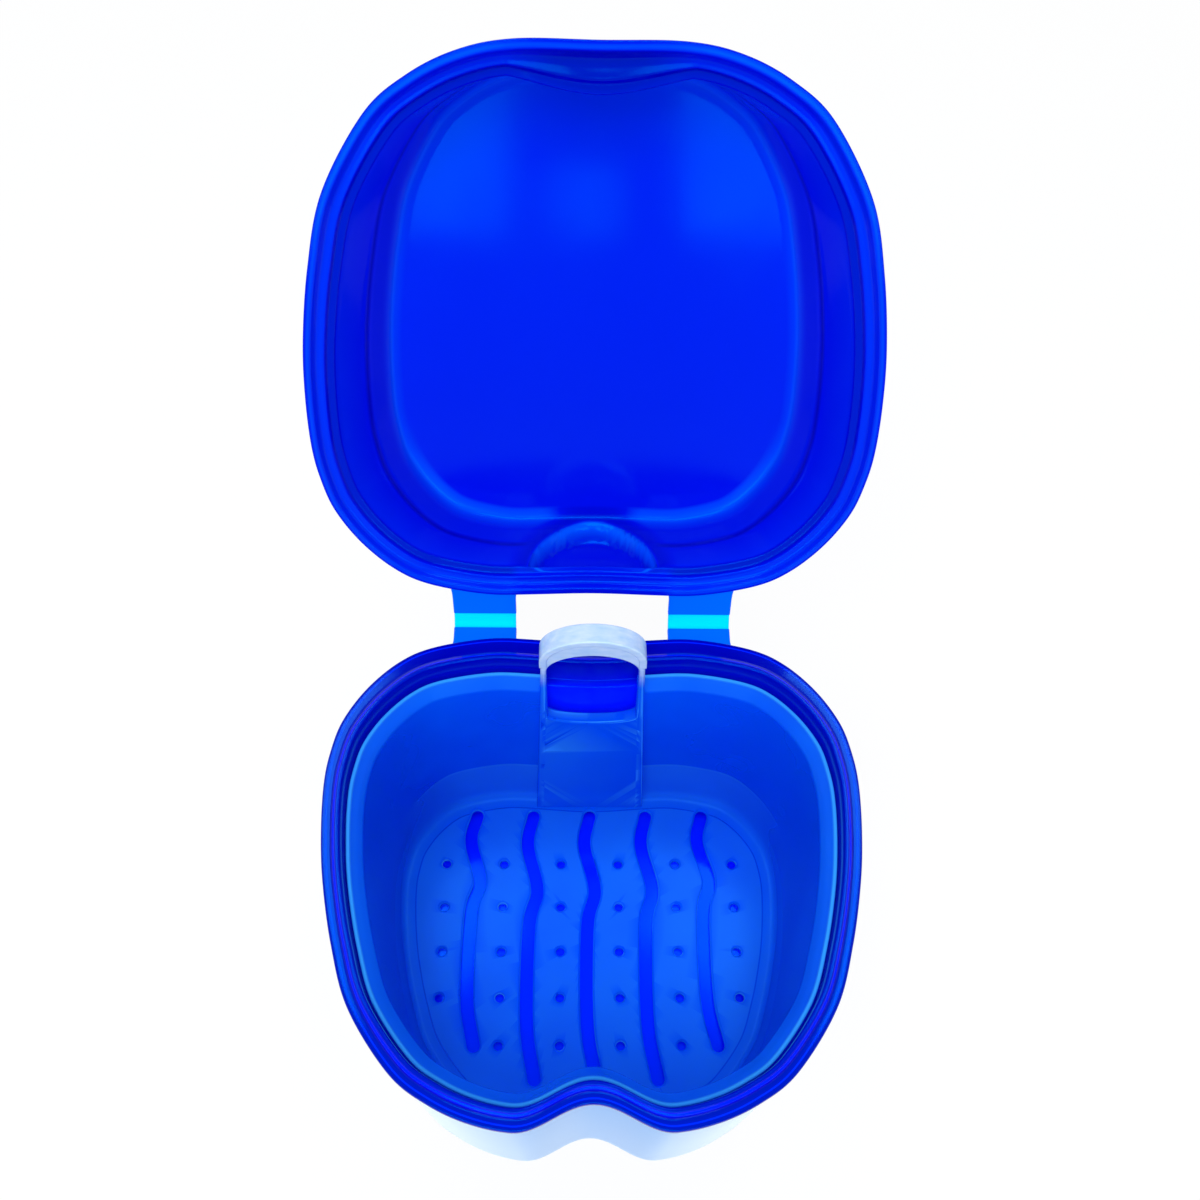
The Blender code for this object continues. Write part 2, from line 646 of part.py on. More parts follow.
def make_web(name, middle, collection, material):
    """Thin bent strip from the tub's leaf over the hinge axis to the lid's leaf."""
    half = STRAP_WIDTH / 2
    reach = WEB_LENGTH / 2
    drop = LEAF_THICKNESS / 2
    start = Vector((0.0, -reach, -drop - HINGE_ABOVE_RIM))
    finish_along = Vector((0.0, math.cos(LID_TILT), math.sin(LID_TILT)))
    finish_down = Vector((0.0, math.sin(LID_TILT), -math.cos(LID_TILT)))
    finish = finish_along * reach + finish_down * drop
    knee = Vector((0.0, 0.0, -drop))
    work = bmesh.new()
    rows = []
    for step in range(WEB_STEPS + 1):
        share = step / WEB_STEPS
        point = start * (1 - share) ** 2 + knee * 2 * share * (1 - share) + finish * share**2
        point += Vector((middle, HINGE_Y, HINGE_Z))
        rows.append([work.verts.new(point + Vector((x, 0.0, 0.0))) for x in (-half, half)])
    for before, after in zip(rows, rows[1:]):
        work.faces.new((before[0], before[1], after[1], after[0]))
    mesh = bpy.data.meshes.new(name)
    work.to_mesh(mesh)
    work.free()
    mesh.materials.append(material)
    web = bpy.data.objects.new(name, mesh)
    collection.objects.link(web)
    thicken = web.modifiers.new("thickness", "SOLIDIFY")
    thicken.thickness = WEB_THICKNESS
    thicken.offset = 0.0
    return web


def make_axis(name, place, tilt, collection):
    """Empty on a joint's axis, which carries the pieces that move about it."""
    empty = bpy.data.objects.new(name, None)
    empty.location = place
    empty.rotation_euler = (tilt, 0.0, 0.0)
    collection.objects.link(empty)
    return empty


def main():
    clear_scene()
    parts = new_collection("denture_case")
    cutters = new_collection("denture_case_cutters")
    cutters.hide_render = True
    blue = new_material("blue_polypropylene", (0.0, 0.010, 0.78), 0.22)
    web_blue = new_material("thin_blue_polypropylene", (0.0, 0.62, 1.0), 0.25, 0.85)
    pale = new_material("pale_polypropylene", (0.72, 0.85, 0.95), 0.35)
    natural = new_material("natural_polypropylene", (0.55, 0.75, 1.0), 0.28, 0.45)

    lid_axis = make_axis("lid_hinge_axis", (0.0, HINGE_Y, HINGE_Z), LID_TILT, parts)
    basket_lift = make_axis("basket_lift_axis", (0.0, 0.0, BASKET_TOP), 0.0, parts)
    make_jacket(parts, pale)
    make_tub(parts, blue)
    make_basket(parts, cutters, natural, basket_lift)
    make_lid(parts, blue, lid_axis)
    make_hinge(parts, blue, web_blue, lid_axis)


main()
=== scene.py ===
import json
import math

import bmesh
import bpy
from mathutils import Matrix, Vector
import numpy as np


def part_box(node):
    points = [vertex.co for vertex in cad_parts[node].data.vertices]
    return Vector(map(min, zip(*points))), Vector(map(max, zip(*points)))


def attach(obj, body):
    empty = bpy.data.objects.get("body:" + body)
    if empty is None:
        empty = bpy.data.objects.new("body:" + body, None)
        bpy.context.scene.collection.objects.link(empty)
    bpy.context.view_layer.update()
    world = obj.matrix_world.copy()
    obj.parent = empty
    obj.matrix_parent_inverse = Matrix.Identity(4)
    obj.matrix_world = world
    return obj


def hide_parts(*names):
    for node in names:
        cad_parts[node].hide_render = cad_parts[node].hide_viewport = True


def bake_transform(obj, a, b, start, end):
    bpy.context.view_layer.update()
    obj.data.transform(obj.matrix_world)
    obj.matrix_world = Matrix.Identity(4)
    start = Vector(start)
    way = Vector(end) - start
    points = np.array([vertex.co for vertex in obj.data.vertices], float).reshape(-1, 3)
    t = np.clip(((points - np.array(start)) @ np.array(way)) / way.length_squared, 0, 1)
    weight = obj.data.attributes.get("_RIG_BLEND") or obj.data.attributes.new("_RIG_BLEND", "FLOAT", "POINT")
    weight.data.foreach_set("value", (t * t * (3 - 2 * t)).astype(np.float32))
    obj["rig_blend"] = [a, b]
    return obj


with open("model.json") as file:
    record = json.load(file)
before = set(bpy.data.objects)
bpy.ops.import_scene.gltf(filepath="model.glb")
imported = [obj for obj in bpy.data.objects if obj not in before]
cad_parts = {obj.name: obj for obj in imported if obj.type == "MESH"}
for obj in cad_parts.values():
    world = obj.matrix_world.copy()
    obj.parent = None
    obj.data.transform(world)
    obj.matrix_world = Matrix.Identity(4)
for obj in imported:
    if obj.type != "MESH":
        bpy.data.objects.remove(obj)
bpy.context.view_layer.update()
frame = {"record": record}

mm = 0.001
weldGap = 0.002 * mm


# Small helpers

def linearColour(hexCode):
    channels = [int(hexCode[i:i + 2], 16) / 255 for i in (1, 3, 5)]
    return tuple(c / 12.92 if c <= 0.04045 else ((c + 0.055) / 1.055) ** 2.4 for c in channels) + (1.0,)


def fillInputs(tree, node, inputs):
    for name, value in inputs.items():
        if isinstance(value, bpy.types.NodeSocket):
            tree.links.new(value, node.inputs[name])
        else:
            node.inputs[name].default_value = value


def addNode(tree, kind, settings=None, inputs=None):
    node = tree.nodes.new(kind)
    for name, value in (settings or {}).items():
        setattr(node, name, value)
    fillInputs(tree, node, inputs or {})
    return node


def calculator(tree):
    def calc(operation, *values):
        return addNode(tree, "ShaderNodeMath", {"operation": operation}, dict(enumerate(values))).outputs[0]
    return calc


def eased(tree, value, start, end, first=0.0, last=1.0):
    return addNode(tree, "ShaderNodeMapRange", {"interpolation_type": "SMOOTHSTEP"}, {
        "Value": value, "From Min": start, "From Max": end, "To Min": first, "To Max": last}).outputs[0]


def newObject(name, mesh):
    obj = bpy.data.objects.new(name, mesh)
    bpy.context.scene.collection.objects.link(obj)
    return obj


def turnOutwards(work):
    # closed shapes only
    bmesh.ops.recalc_face_normals(work, faces=work.faces)
    if work.calc_volume(signed=True) < 0:
        bmesh.ops.reverse_faces(work, faces=work.faces)


def meshFrom(name, work):
    turnOutwards(work)
    mesh = bpy.data.meshes.new(name)
    work.to_mesh(mesh)
    work.free()
    return mesh


def bakeModifiers(obj, name):
    # the evaluated result as a plain mesh on a new object, and the old one removed
    graph = bpy.context.evaluated_depsgraph_get()
    baked = bpy.data.meshes.new_from_object(
        obj.evaluated_get(graph), preserve_all_data_layers=True, depsgraph=graph)
    old = obj.data
    bpy.data.objects.remove(obj, do_unlink=True)
    bpy.data.meshes.remove(old)
    baked.name = name
    return newObject(name, baked)


def weldOutwards(piece, weld=weldGap):
    work = bmesh.new()
    work.from_mesh(piece.data)
    bmesh.ops.remove_doubles(work, verts=work.verts, dist=weld)
    turnOutwards(work)
    work.to_mesh(piece.data)
    work.free()


def smoothShading(piece, degrees=45):
    piece.data.shade_smooth()
    piece.data.set_sharp_from_angle(angle=math.radians(degrees))


def skinLoops(work, rows):
    for low, high in zip(rows, rows[1:]):
        for i in range(len(low)):
            j = (i + 1) % len(low)
            work.faces.new((low[i], low[j], high[j], high[i]))


def socketId(tree, label):
    for item in tree.interface.items_tree:
        if item.item_type == "SOCKET" and item.in_out == "INPUT" and item.name == label:
            return item.identifier
    raise KeyError(label)


def startTree(name, inputs):
    tree = bpy.data.node_groups.new(name, "GeometryNodeTree")
    tree.is_modifier = True
    tree.interface.new_socket("Geometry", in_out="INPUT", socket_type="NodeSocketGeometry")
    for label, kind in inputs:
        tree.interface.new_socket(label, in_out="INPUT", socket_type="NodeSocket" + kind)
    tree.interface.new_socket("Geometry", in_out="OUTPUT", socket_type="NodeSocketGeometry")
    return tree, addNode(tree, "NodeGroupInput").outputs


def finishTree(tree, geometry, material):
    whole = addNode(tree, "GeometryNodeRealizeInstances", {}, {"Geometry": geometry}).outputs[0]
    dressed = addNode(tree, "GeometryNodeSetMaterial", {}, {"Geometry": whole, "Material": material})
    addNode(tree, "NodeGroupOutput", {}, {"Geometry": dressed.outputs[0]})


def useTree(obj, tree, values):
    modifier = obj.modifiers.new(tree.name, "NODES")
    modifier.node_group = tree
    for label, value in values.items():
        modifier[socketId(tree, label)] = value


# Outline that the rims, walls and floors all follow

# half of it, from the middle of the back to the middle of the front: share of half width, share of depth
outlineShares = (
    (0.000, 0.000), (0.240, 0.000), (0.430, 0.003), (0.634, 0.026), (0.760, 0.062), (0.874, 0.125),
    (0.955, 0.200), (0.989, 0.272), (1.000, 0.342), (0.991, 0.440), (0.966, 0.542), (0.913, 0.666),
    (0.836, 0.783), (0.685, 0.897), (0.549, 0.951), (0.400, 0.985), (0.240, 1.000), (0.000, 1.000),
)


def throughPoints(a, b, c, d, t):
    # Catmull-Rom curve from b to c
    return 0.5 * (2 * b + (c - a) * t + (2 * a - 5 * b + 4 * c - d) * t ** 2
                  + (3 * b - a - 3 * c + d) * t ** 3)


def smoothOutline(width, depth, count, fine=24):
    right = [Vector((x * width / 2, y * depth, 0)) for x, y in outlineShares]
    knots = right + [Vector((-p.x, p.y, 0)) for p in reversed(right[1:-1])]
    dense = []
    for i in range(len(knots)):
        four = [knots[(i + k) % len(knots)] for k in (-1, 0, 1, 2)]
        dense += [throughPoints(*four, step / fine) for step in range(fine)]
    lengths = [(dense[(i + 1) % len(dense)] - dense[i]).length for i in range(len(dense))]
    total, points, index, passed = sum(lengths), [], 0, 0.0
    for step in range(count):
        target = total * step / count
        while passed + lengths[index] < target:
            passed += lengths[index]
            index += 1
        share = (target - passed) / lengths[index]
        points.append(dense[index].lerp(dense[(index + 1) % len(dense)], share))
    return points


def outlineObject(name, width, depth, count):
    points = smoothOutline(width, depth, count)
    mesh = bpy.data.meshes.new(name)
    mesh.from_pydata(points, [(i, (i + 1) % count) for i in range(count)], [])
    inward = mesh.attributes.new("inward", "FLOAT_VECTOR", "POINT")
    for i in range(count):
        along = (points[(i + 1) % count] - points[i - 1]).normalized()
        inward.data[i].vector = (-along.y, along.x, 0)
    return newObject(name, mesh)


# Section of a shell: corners with an inset from the outline and a height, each drawn in, pushed and given
# painted shading, where a positive value paints a highlight and a negative one paints shade, and a back
# highlight is painted only towards the back. The pushes reach in at the front notch, the back dimple and the
# niche, and a sink lowers the notch's lip and paints shade around it and along the front.
rowKeys = ("inset", "height", "shrink", "sides", "back", "front", "notch", "dimple", "niche", "sink",
           "tone", "backTone")


def corner(inset, height, rounding=0.0, **more):
    return {"shrink": 1.0, **more, "inset": inset, "height": height, "rounding": rounding}


def sectionRows(corners, steps=5, longestRun=2.5, mostCut=0.48, closingRun=30):
    # each corner is rounded within mostCut of its runs, and a floor that closes counts as closingRun long
    rows = [[float(c.get(key, 0.0)) for key in rowKeys] for c in corners]
    rounded = []
    for i, row in enumerate(rows):
        radius = corners[i]["rounding"]
        if radius == 0 or i in (0, len(rows) - 1):
            rounded.append(row)
            continue
        ends = []
        for other in (rows[i - 1], rows[i + 1]):
            reach = math.hypot(other[0] - row[0], other[1] - row[1])
            share = min(radius / max(reach, 1e-9), mostCut)
            ends.append([r + (o - r) * share for r, o in zip(row, other)])
        for step in range(steps + 1):
            t = step / steps
            bent = zip(ends[0], row, ends[1])
            rounded.append([a * (1 - t) ** 2 + r * 2 * t * (1 - t) + b * t * t for a, r, b in bent])
    dense = [rounded[0]]
    for row in rounded[1:]:
        last = dense[-1]
        reach = math.hypot(row[0] - last[0], row[1] - last[1]) + abs(row[2] - last[2]) * closingRun
        pieces = max(1, int(reach / longestRun))
        dense += [[a + (b - a) * k / pieces for a, b in zip(last, row)] for k in range(1, pieces + 1)]
    return dense


def sectionObject(name, rows):
    mesh = bpy.data.meshes.new(name)
    points = [(r[0] * mm, r[2], r[1] * mm) for r in rows]
    mesh.from_pydata(points, [(i, i + 1) for i in range(len(rows) - 1)], [])
    for label, first, scale in (("drawIn", 3, mm), ("pushes", 6, mm), ("touches", 9, 1.0)):
        attribute = mesh.attributes.new(label, "FLOAT_VECTOR", "POINT")
        for item, row in zip(attribute.data, rows):
            item.vector = [value * scale for value in row[first:first + 3]]
    return newObject(name, mesh)


# the painted shading of a swept shell and where it fades: fades are shares of the depth, and those of the
# niche are shares of its half ellipse
shellTouches = {
    "sinkShade": 1.1, "backFade": (0.12, 0.32), "frontFade": (0.86, 0.97), "frontShade": 0.5,
    "hingeFade": (0.10, 0.14), "nicheFade": (1.1, 1.35), "nicheFoot": (-0.06, 0.02), "nicheReach": 2.0,
    "leastNiche": 5 * mm,
}


def makeSweptShellTree(touches):
    tree, given = startTree("sweptShell", (
        ("Outline", "Object"), ("Section", "Object"), ("Around", "Int"), ("Along", "Int"), ("Width", "Float"),
        ("Depth", "Float"), ("Notch Half Width", "Float"), ("Notch Arc Share", "Float"),
        ("Dimple Half Width", "Float"), ("Niche Half Width", "Float"), ("Niche Height", "Float"),
        ("Niche Start", "Float"), ("Niche Edge", "Float"), ("Sink Shade", "Float"),
        ("Material", "Material")))
    calc = calculator(tree)

    def split(vector):
        return addNode(tree, "ShaderNodeSeparateXYZ", {}, {0: vector}).outputs

    def sampled(geometry, value, at):
        return addNode(tree, "GeometryNodeSampleIndex", {"data_type": "FLOAT_VECTOR"},
                       {"Geometry": geometry, "Value": value, "Index": at}).outputs["Value"]

    def named(label):
        return addNode(tree, "GeometryNodeInputNamedAttribute", {"data_type": "FLOAT_VECTOR"},
                       {"Name": label}).outputs["Attribute"]

    ring = addNode(tree, "GeometryNodeObjectInfo", {}, {"Object": given["Outline"]}).outputs["Geometry"]
    line = addNode(tree, "GeometryNodeObjectInfo", {}, {"Object": given["Section"]}).outputs["Geometry"]
    grid = addNode(tree, "GeometryNodeMeshGrid", {}, {
        "Size X": 1.0, "Size Y": 1.0, "Vertices X": calc("ADD", given["Around"], 1.0),
        "Vertices Y": given["Along"]})
    index = addNode(tree, "GeometryNodeInputIndex").outputs[0]
    column = calc("FLOOR", calc("DIVIDE", index, given["Along"]))  # a grid counts its points along Y first
    row = calc("SUBTRACT", index, calc("MULTIPLY", column, given["Along"]))
    around = calc("MODULO", column, given["Around"])

    place = addNode(tree, "GeometryNodeInputPosition").outputs[0]
    rim = sampled(ring, place, around)
    inward = sampled(ring, named("inward"), around)
    inset, shrink, height = split(sampled(line, place, row))
    sides, back, front = split(sampled(line, named("drawIn"), row))
    notchPush, dimplePush, nichePush = split(sampled(line, named("pushes"), row))
    sink, tone, backTone = split(sampled(line, named("touches"), row))

    scaled = addNode(tree, "ShaderNodeVectorMath", {"operation": "SCALE"}, {0: inward, "Scale": inset})
    moved = addNode(tree, "ShaderNodeVectorMath", {"operation": "ADD"}, {0: rim, 1: scaled.outputs[0]})
    movedX, movedY, _ = split(moved.outputs[0])
    # the outline is drawn in at its sides, back and front
    halfWidth = calc("SUBTRACT", calc("MULTIPLY", given["Width"], 0.5), inset)
    x = calc("MULTIPLY", movedX, calc("DIVIDE", calc("SUBTRACT", halfWidth, sides), halfWidth))
    span = calc("SUBTRACT", given["Depth"], calc("MULTIPLY", inset, 2.0))
    along = calc("DIVIDE", calc("SUBTRACT", calc("SUBTRACT", span, back), front), span)
    y = calc("ADD", calc("ADD", inset, back), calc("MULTIPLY", calc("SUBTRACT", movedY, inset), along))
    middle = calc("MULTIPLY", given["Depth"], 0.5)
    isFront = calc("GREATER_THAN", y, middle)
    isBack = calc("SUBTRACT", 1.0, isFront)
    reach = calc("ABSOLUTE", x)

    def wave(half):
        share = calc("MINIMUM", calc("DIVIDE", reach, half), 1.0)
        return calc("MULTIPLY_ADD", calc("COSINE", calc("MULTIPLY", share, math.pi)), 0.5, 0.5), share

    softNotch, share = wave(given["Notch Half Width"])
    arcNotch = calc("SUBTRACT", 1.0, calc("MULTIPLY", share, share))
    difference = calc("MULTIPLY", calc("SUBTRACT", arcNotch, softNotch), given["Notch Arc Share"])
    notchShape = calc("MULTIPLY", calc("ADD", softNotch, difference), isFront)
    dimpleShape = calc("MULTIPLY", wave(given["Dimple Half Width"])[0], isBack)

    # the niche is a half ellipse standing on a flat line, with soft edges
    lifted = calc("DIVIDE", calc("SUBTRACT", height, given["Niche Start"]), given["Niche Height"])
    acrossShare = calc("DIVIDE", x, given["Niche Half Width"])
    squares = calc("ADD", calc("MULTIPLY", acrossShare, acrossShare), calc("MULTIPLY", lifted, lifted))
    edgeShare = calc("DIVIDE", given["Niche Edge"], given["Niche Half Width"])
    fromMiddle = calc("SQRT", squares)
    inside = eased(tree, fromMiddle, calc("SUBTRACT", 1.0, edgeShare), 1.0, 1.0, 0.0)
    aboveLine = eased(tree, lifted, *touches["nicheFoot"])
    nicheShape = calc("MULTIPLY", calc("MULTIPLY", inside, aboveLine), isBack)

    y = calc("SUBTRACT", y, calc("MULTIPLY", notchPush, notchShape))
    y = calc("ADD", y, calc("MULTIPLY", dimplePush, dimpleShape))
    y = calc("SUBTRACT", y, calc("MULTIPLY", nichePush, nicheShape))
    z = calc("ADD", height, calc("MULTIPLY", calc("MULTIPLY", sink, mm), notchShape))
    # a floor closes on the middle
    x = calc("MULTIPLY", x, shrink)
    y = calc("ADD", middle, calc("MULTIPLY", calc("SUBTRACT", y, middle), shrink))
    target = addNode(tree, "ShaderNodeCombineXYZ", {}, {0: x, 1: y, 2: z}).outputs[0]

    # painted shading: a highlight added towards the back, and shade painted around the sunk notch and towards
    # the front
    depthShare = calc("DIVIDE", y, given["Depth"])
    backMask = eased(tree, depthShare, *touches["backFade"], 1.0, 0.0)
    tone = calc("ADD", tone, calc("MULTIPLY", backTone, backMask))
    nearFront = eased(tree, depthShare, *touches["frontFade"], 0.0, touches["frontShade"])
    shade = calc("MULTIPLY", calc("MULTIPLY_ADD", notchShape, given["Sink Shade"], nearFront), sink)
    tone = calc("SUBTRACT", tone, shade)
    # the painted shading fades out near the niche, and the material paints a highlight on the niche's edge
    # and a shade halo around it
    hasNiche = calc("MULTIPLY", calc("GREATER_THAN", given["Niche Height"], touches["leastNiche"]), isBack)
    nearNiche = calc("MULTIPLY", eased(tree, fromMiddle, *touches["nicheFade"], 1.0, 0.0), hasNiche)
    tone = calc("MULTIPLY", tone, calc("SUBTRACT", 1.0, nearNiche))
    nearHinge = calc("MULTIPLY", eased(tree, depthShare, *touches["hingeFade"], 1.0, 0.0), hasNiche)
    niche = calc("MAXIMUM", calc("SUBTRACT", touches["nicheReach"], fromMiddle), 0.0)
    niche = calc("MULTIPLY", calc("MULTIPLY", niche, nearHinge), aboveLine)
    kept = grid.outputs["Mesh"]
    for label, value in (("tone", tone), ("niche", niche)):
        kept = addNode(tree, "GeometryNodeStoreNamedAttribute", {"data_type": "FLOAT", "domain": "POINT"}, {
            "Geometry": kept, "Name": label, "Value": value}).outputs[0]
    shaped = addNode(tree, "GeometryNodeSetPosition", {}, {"Geometry": kept, "Position": target})
    welded = addNode(tree, "GeometryNodeMergeByDistance", {}, {
        "Geometry": shaped.outputs[0], "Distance": weldGap})
    finishTree(tree, welded.outputs[0], given["Material"])
    return tree


sweptShellTree = makeSweptShellTree(shellTouches)


def sweepShell(name, corners, size, material, place, longestRun=2.5):
    rows = sectionRows([{**size["everywhere"], **c} for c in corners], longestRun=longestRun)
    ring = outlineObject(name + "Outline", size["width"] * mm, size["depth"] * mm, size["around"])
    section = sectionObject(name + "Section", rows)
    carrier = newObject(name + "Carrier", bpy.data.meshes.new(name + "Carrier"))
    niche = size["niche"]
    useTree(carrier, sweptShellTree, {
        "Outline": ring, "Section": section, "Around": size["around"], "Along": len(rows),
        "Width": size["width"] * mm, "Depth": size["depth"] * mm, "Notch Half Width": size["notchHalf"] * mm,
        "Notch Arc Share": size["notchArc"], "Dimple Half Width": size["dimpleHalf"] * mm,
        "Niche Half Width": niche["halfWidth"] * mm, "Niche Height": niche["height"] * mm,
        "Niche Start": niche["start"] * mm, "Niche Edge": niche["edge"] * mm,
        "Sink Shade": shellTouches["sinkShade"], "Material": material})
    piece = bakeModifiers(carrier, name)
    for helper in (ring, section):
        bpy.data.objects.remove(helper, do_unlink=True)
    piece.data.transform(place)
    weldOutwards(piece)
    return piece


# Materials

# the painted highlight on the niche's edge and the painted shade halo around it: where each rises, peaks and
# falls, and its strength
nichePaintedBands = ((0.97, 1.02, 1.08, 0.9), (0.62, 0.93, 0.98, -0.4))
plasticIndex = 1.49


def blankMaterial(name):
    material = bpy.data.materials.new(name)
    material.use_nodes = True
    return material, material.node_tree, material.node_tree.nodes["Principled BSDF"]


def mixedColour(tree, share, *colours):
    # two colours, each a socket or a hex code
    first, second = (linearColour(c) if isinstance(c, str) else c for c in colours)
    return addNode(tree, "ShaderNodeMix", {"data_type": "RGBA"}, {0: share, 6: first, 7: second}).outputs[2]


def paintedShadingShares(tree):
    # the painted highlight share and the painted shade share of the shading that a piece carries, with the
    # niche's painted edge highlight and shade halo drawn fine
    calc = calculator(tree)
    tone, niche = (addNode(tree, "ShaderNodeAttribute", {"attribute_name": label}).outputs["Fac"]
                   for label in ("tone", "niche"))
    for rise, peak, fall, strength in nichePaintedBands:
        up = eased(tree, niche, rise, peak)
        down = eased(tree, niche, peak, fall, strength, 0.0)
        tone = calc("ADD", tone, calc("MULTIPLY", up, down))
    clamped = {"operation": "MULTIPLY", "use_clamp": True}
    return [addNode(tree, "ShaderNodeMath", clamped, {0: tone, 1: sign}).outputs[0] for sign in (1.0, -1.0)]


def noiseAt(tree, sizeMm, detail=2.0, stretch=(1, 1, 1)):
    place = addNode(tree, "ShaderNodeTexCoord").outputs["Object"]
    turned = addNode(tree, "ShaderNodeMapping", {}, {"Vector": place, "Scale": stretch}).outputs[0]
    return addNode(tree, "ShaderNodeTexNoise", {}, {
        "Vector": turned, "Scale": 1 / (sizeMm * mm), "Detail": detail}).outputs[0]


def bluePlastic(name, colours, roughness=0.2):
    # injection-moulded polypropylene: saturated, glossy, painted paler where a highlight falls and deeper
    # where shade falls
    material, tree, shader = blankMaterial(name)
    lighter, darker = paintedShadingShares(tree)
    body = mixedColour(tree, noiseAt(tree, 38), colours["deep"], colours["body"])
    body = mixedColour(tree, lighter, body, colours["thin"])
    body = mixedColour(tree, darker, body, colours["paintedShade"])
    rough = addNode(tree, "ShaderNodeMapRange", {}, {
        "Value": noiseAt(tree, 9, 4.0), "From Min": 0.3, "From Max": 0.7,
        "To Min": roughness * 0.8, "To Max": roughness * 1.3})
    skin = addNode(tree, "ShaderNodeBump", {}, {
        "Strength": 0.05, "Distance": 0.05 * mm, "Height": noiseAt(tree, 0.9, 3.0)})
    fillInputs(tree, shader, {
        "Base Color": body, "Roughness": rough.outputs[0], "Normal": skin.outputs[0], "IOR": plasticIndex,
        "Specular Tint": (0.0, 0.3, 1.0, 1.0)})
    return material


def milkyPlastic(name):
    # thick milk-coloured polypropylene with a satin mould finish
    material, tree, shader = blankMaterial(name)
    facing = addNode(tree, "ShaderNodeLayerWeight", {}, {"Blend": 0.5}).outputs["Facing"]
    body = mixedColour(tree, noiseAt(tree, 26), "#4688D0", "#5090D4")
    body = mixedColour(tree, eased(tree, facing, 0.8, 1.0), body, "#E4F2F8")
    grain = addNode(tree, "ShaderNodeBump", {}, {
        "Strength": 0.12, "Distance": 0.04 * mm, "Height": noiseAt(tree, 0.5)})
    fillInputs(tree, shader, {
        "Base Color": body, "Roughness": 0.5, "Specular IOR Level": 0.3, "Normal": grain.outputs[0],
        "IOR": plasticIndex})
    return material


def clearPlastic(name, colours):
    # unpigmented polypropylene: see-through with a blue cast, painted paler and milkier where a highlight
    # falls on an edge, darker and milkier where shade is painted, and scuffed along the grip
    material, tree, shader = blankMaterial(name)
    calc = calculator(tree)
    lighter, darker = paintedShadingShares(tree)
    place = addNode(tree, "ShaderNodeTexCoord").outputs["Object"]
    height = addNode(tree, "ShaderNodeSeparateXYZ", {}, {0: place}).outputs[2]
    grip = eased(tree, height, 50 * mm, 56 * mm)
    cloud = noiseAt(tree, 20)
    body = mixedColour(tree, cloud, colours["deep"], colours["body"])
    # painted highlights in the edge colour and painted shade in the shade colour; both also raise the
    # milkiness below
    body = mixedColour(tree, lighter, body, colours["edge"])
    body = mixedColour(tree, darker, body, colours["shade"])
    streaks = noiseAt(tree, 1.6, 5.0, (0.5, 1.5, 1.5))
    body = mixedColour(tree, grip, body, mixedColour(tree, streaks, colours["gripDeep"], colours["grip"]))
    milk = addNode(tree, "ShaderNodeMapRange", {}, {
        "Value": cloud, "From Min": 0.3, "From Max": 0.7, "To Min": 0.48, "To Max": 0.58}).outputs[0]
    for share, most in ((lighter, 0.85), (darker, 0.7), (grip, 0.8)):
        milk = calc("MAXIMUM", milk, calc("MULTIPLY", share, most))
    fillInputs(tree, shader, {
        "Base Color": body, "Alpha": milk, "Roughness": 0.2, "Specular IOR Level": 0.3, "IOR": plasticIndex,
        "Specular Tint": (0.05, 0.4, 1.0, 1.0)})
    return material


blueMoulding = bluePlastic("mouldedBluePolypropylene", {
    "deep": "#0008FF", "body": "#0016FF", "thin": "#0058FF", "paintedShade": "#000090"}, 0.1)
# the lid's dome is a darker copy of the same blue plastic, painted shade
shadedDomeMoulding = bluePlastic("mouldedBluePolypropyleneShadedDome", {
    "deep": "#0006D8", "body": "#0014E0", "thin": "#0058FA", "paintedShade": "#0000AC"}, 0.1)
leafMoulding = bluePlastic("thinMouldedBluePolypropylene", {
    "deep": "#0060FF", "body": "#006CFF", "thin": "#0098FF", "paintedShade": "#0038E0"})
# the web's pale cyan is painted light shining through the thin plastic
webMoulding = bluePlastic("litThroughBluePolypropylene", {
    "deep": "#00D2FA", "body": "#00DCFF", "thin": "#60F0FF", "paintedShade": "#0090E6"})
jacketMoulding = milkyPlastic("satinMilkyPolypropylene")
# the edge colour is a painted highlight and the shade colour is painted shade
basketMoulding = clearPlastic("naturalPolypropylene", {
    "deep": "#0058FF", "body": "#006CFF", "edge": "#38ACFF", "shade": "#0008C8", "grip": "#ECFAFF",
    "gripDeep": "#98CCF0"})


# Base: jacket and tub

noNiche = {"halfWidth": 1.0, "height": 1.0, "start": 0.0, "edge": 0.5}
rim = {"width": 93.9, "depth": 89.1, "around": 384, "notchHalf": 13.0, "notchArc": 0.0, "dimpleHalf": 18.0,
       "niche": noNiche, "everywhere": {"notch": 4.3, "dimple": 1.0}}
baseFrame = Matrix.Translation((0, rim["depth"] / 2 * mm, 0)) @ Matrix.Diagonal((1, -1, 1, 1))
tubSize = {"bead": 1.3, "flange": 1.6, "floor": 1.5, "platform": 1.5, "ledge": 46.4}
jacketSize = {"wall": 1.4, "floor": 1.7}
basketSize = {"floor": 1.2, "drop": 2.0, "rimHeight": 2.3, "ridge": 12.5}
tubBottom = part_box("tub")[0][2] / mm
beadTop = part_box("tub")[1][2] / mm
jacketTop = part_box("outer_jacket")[1][2] / mm
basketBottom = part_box("basket")[0][2] / mm
rimTop = beadTop - tubSize["bead"]
basketFloor = basketBottom + basketSize["floor"]
basketTop = rimTop - basketSize["drop"]
bandBottom = basketTop - basketSize["rimHeight"]

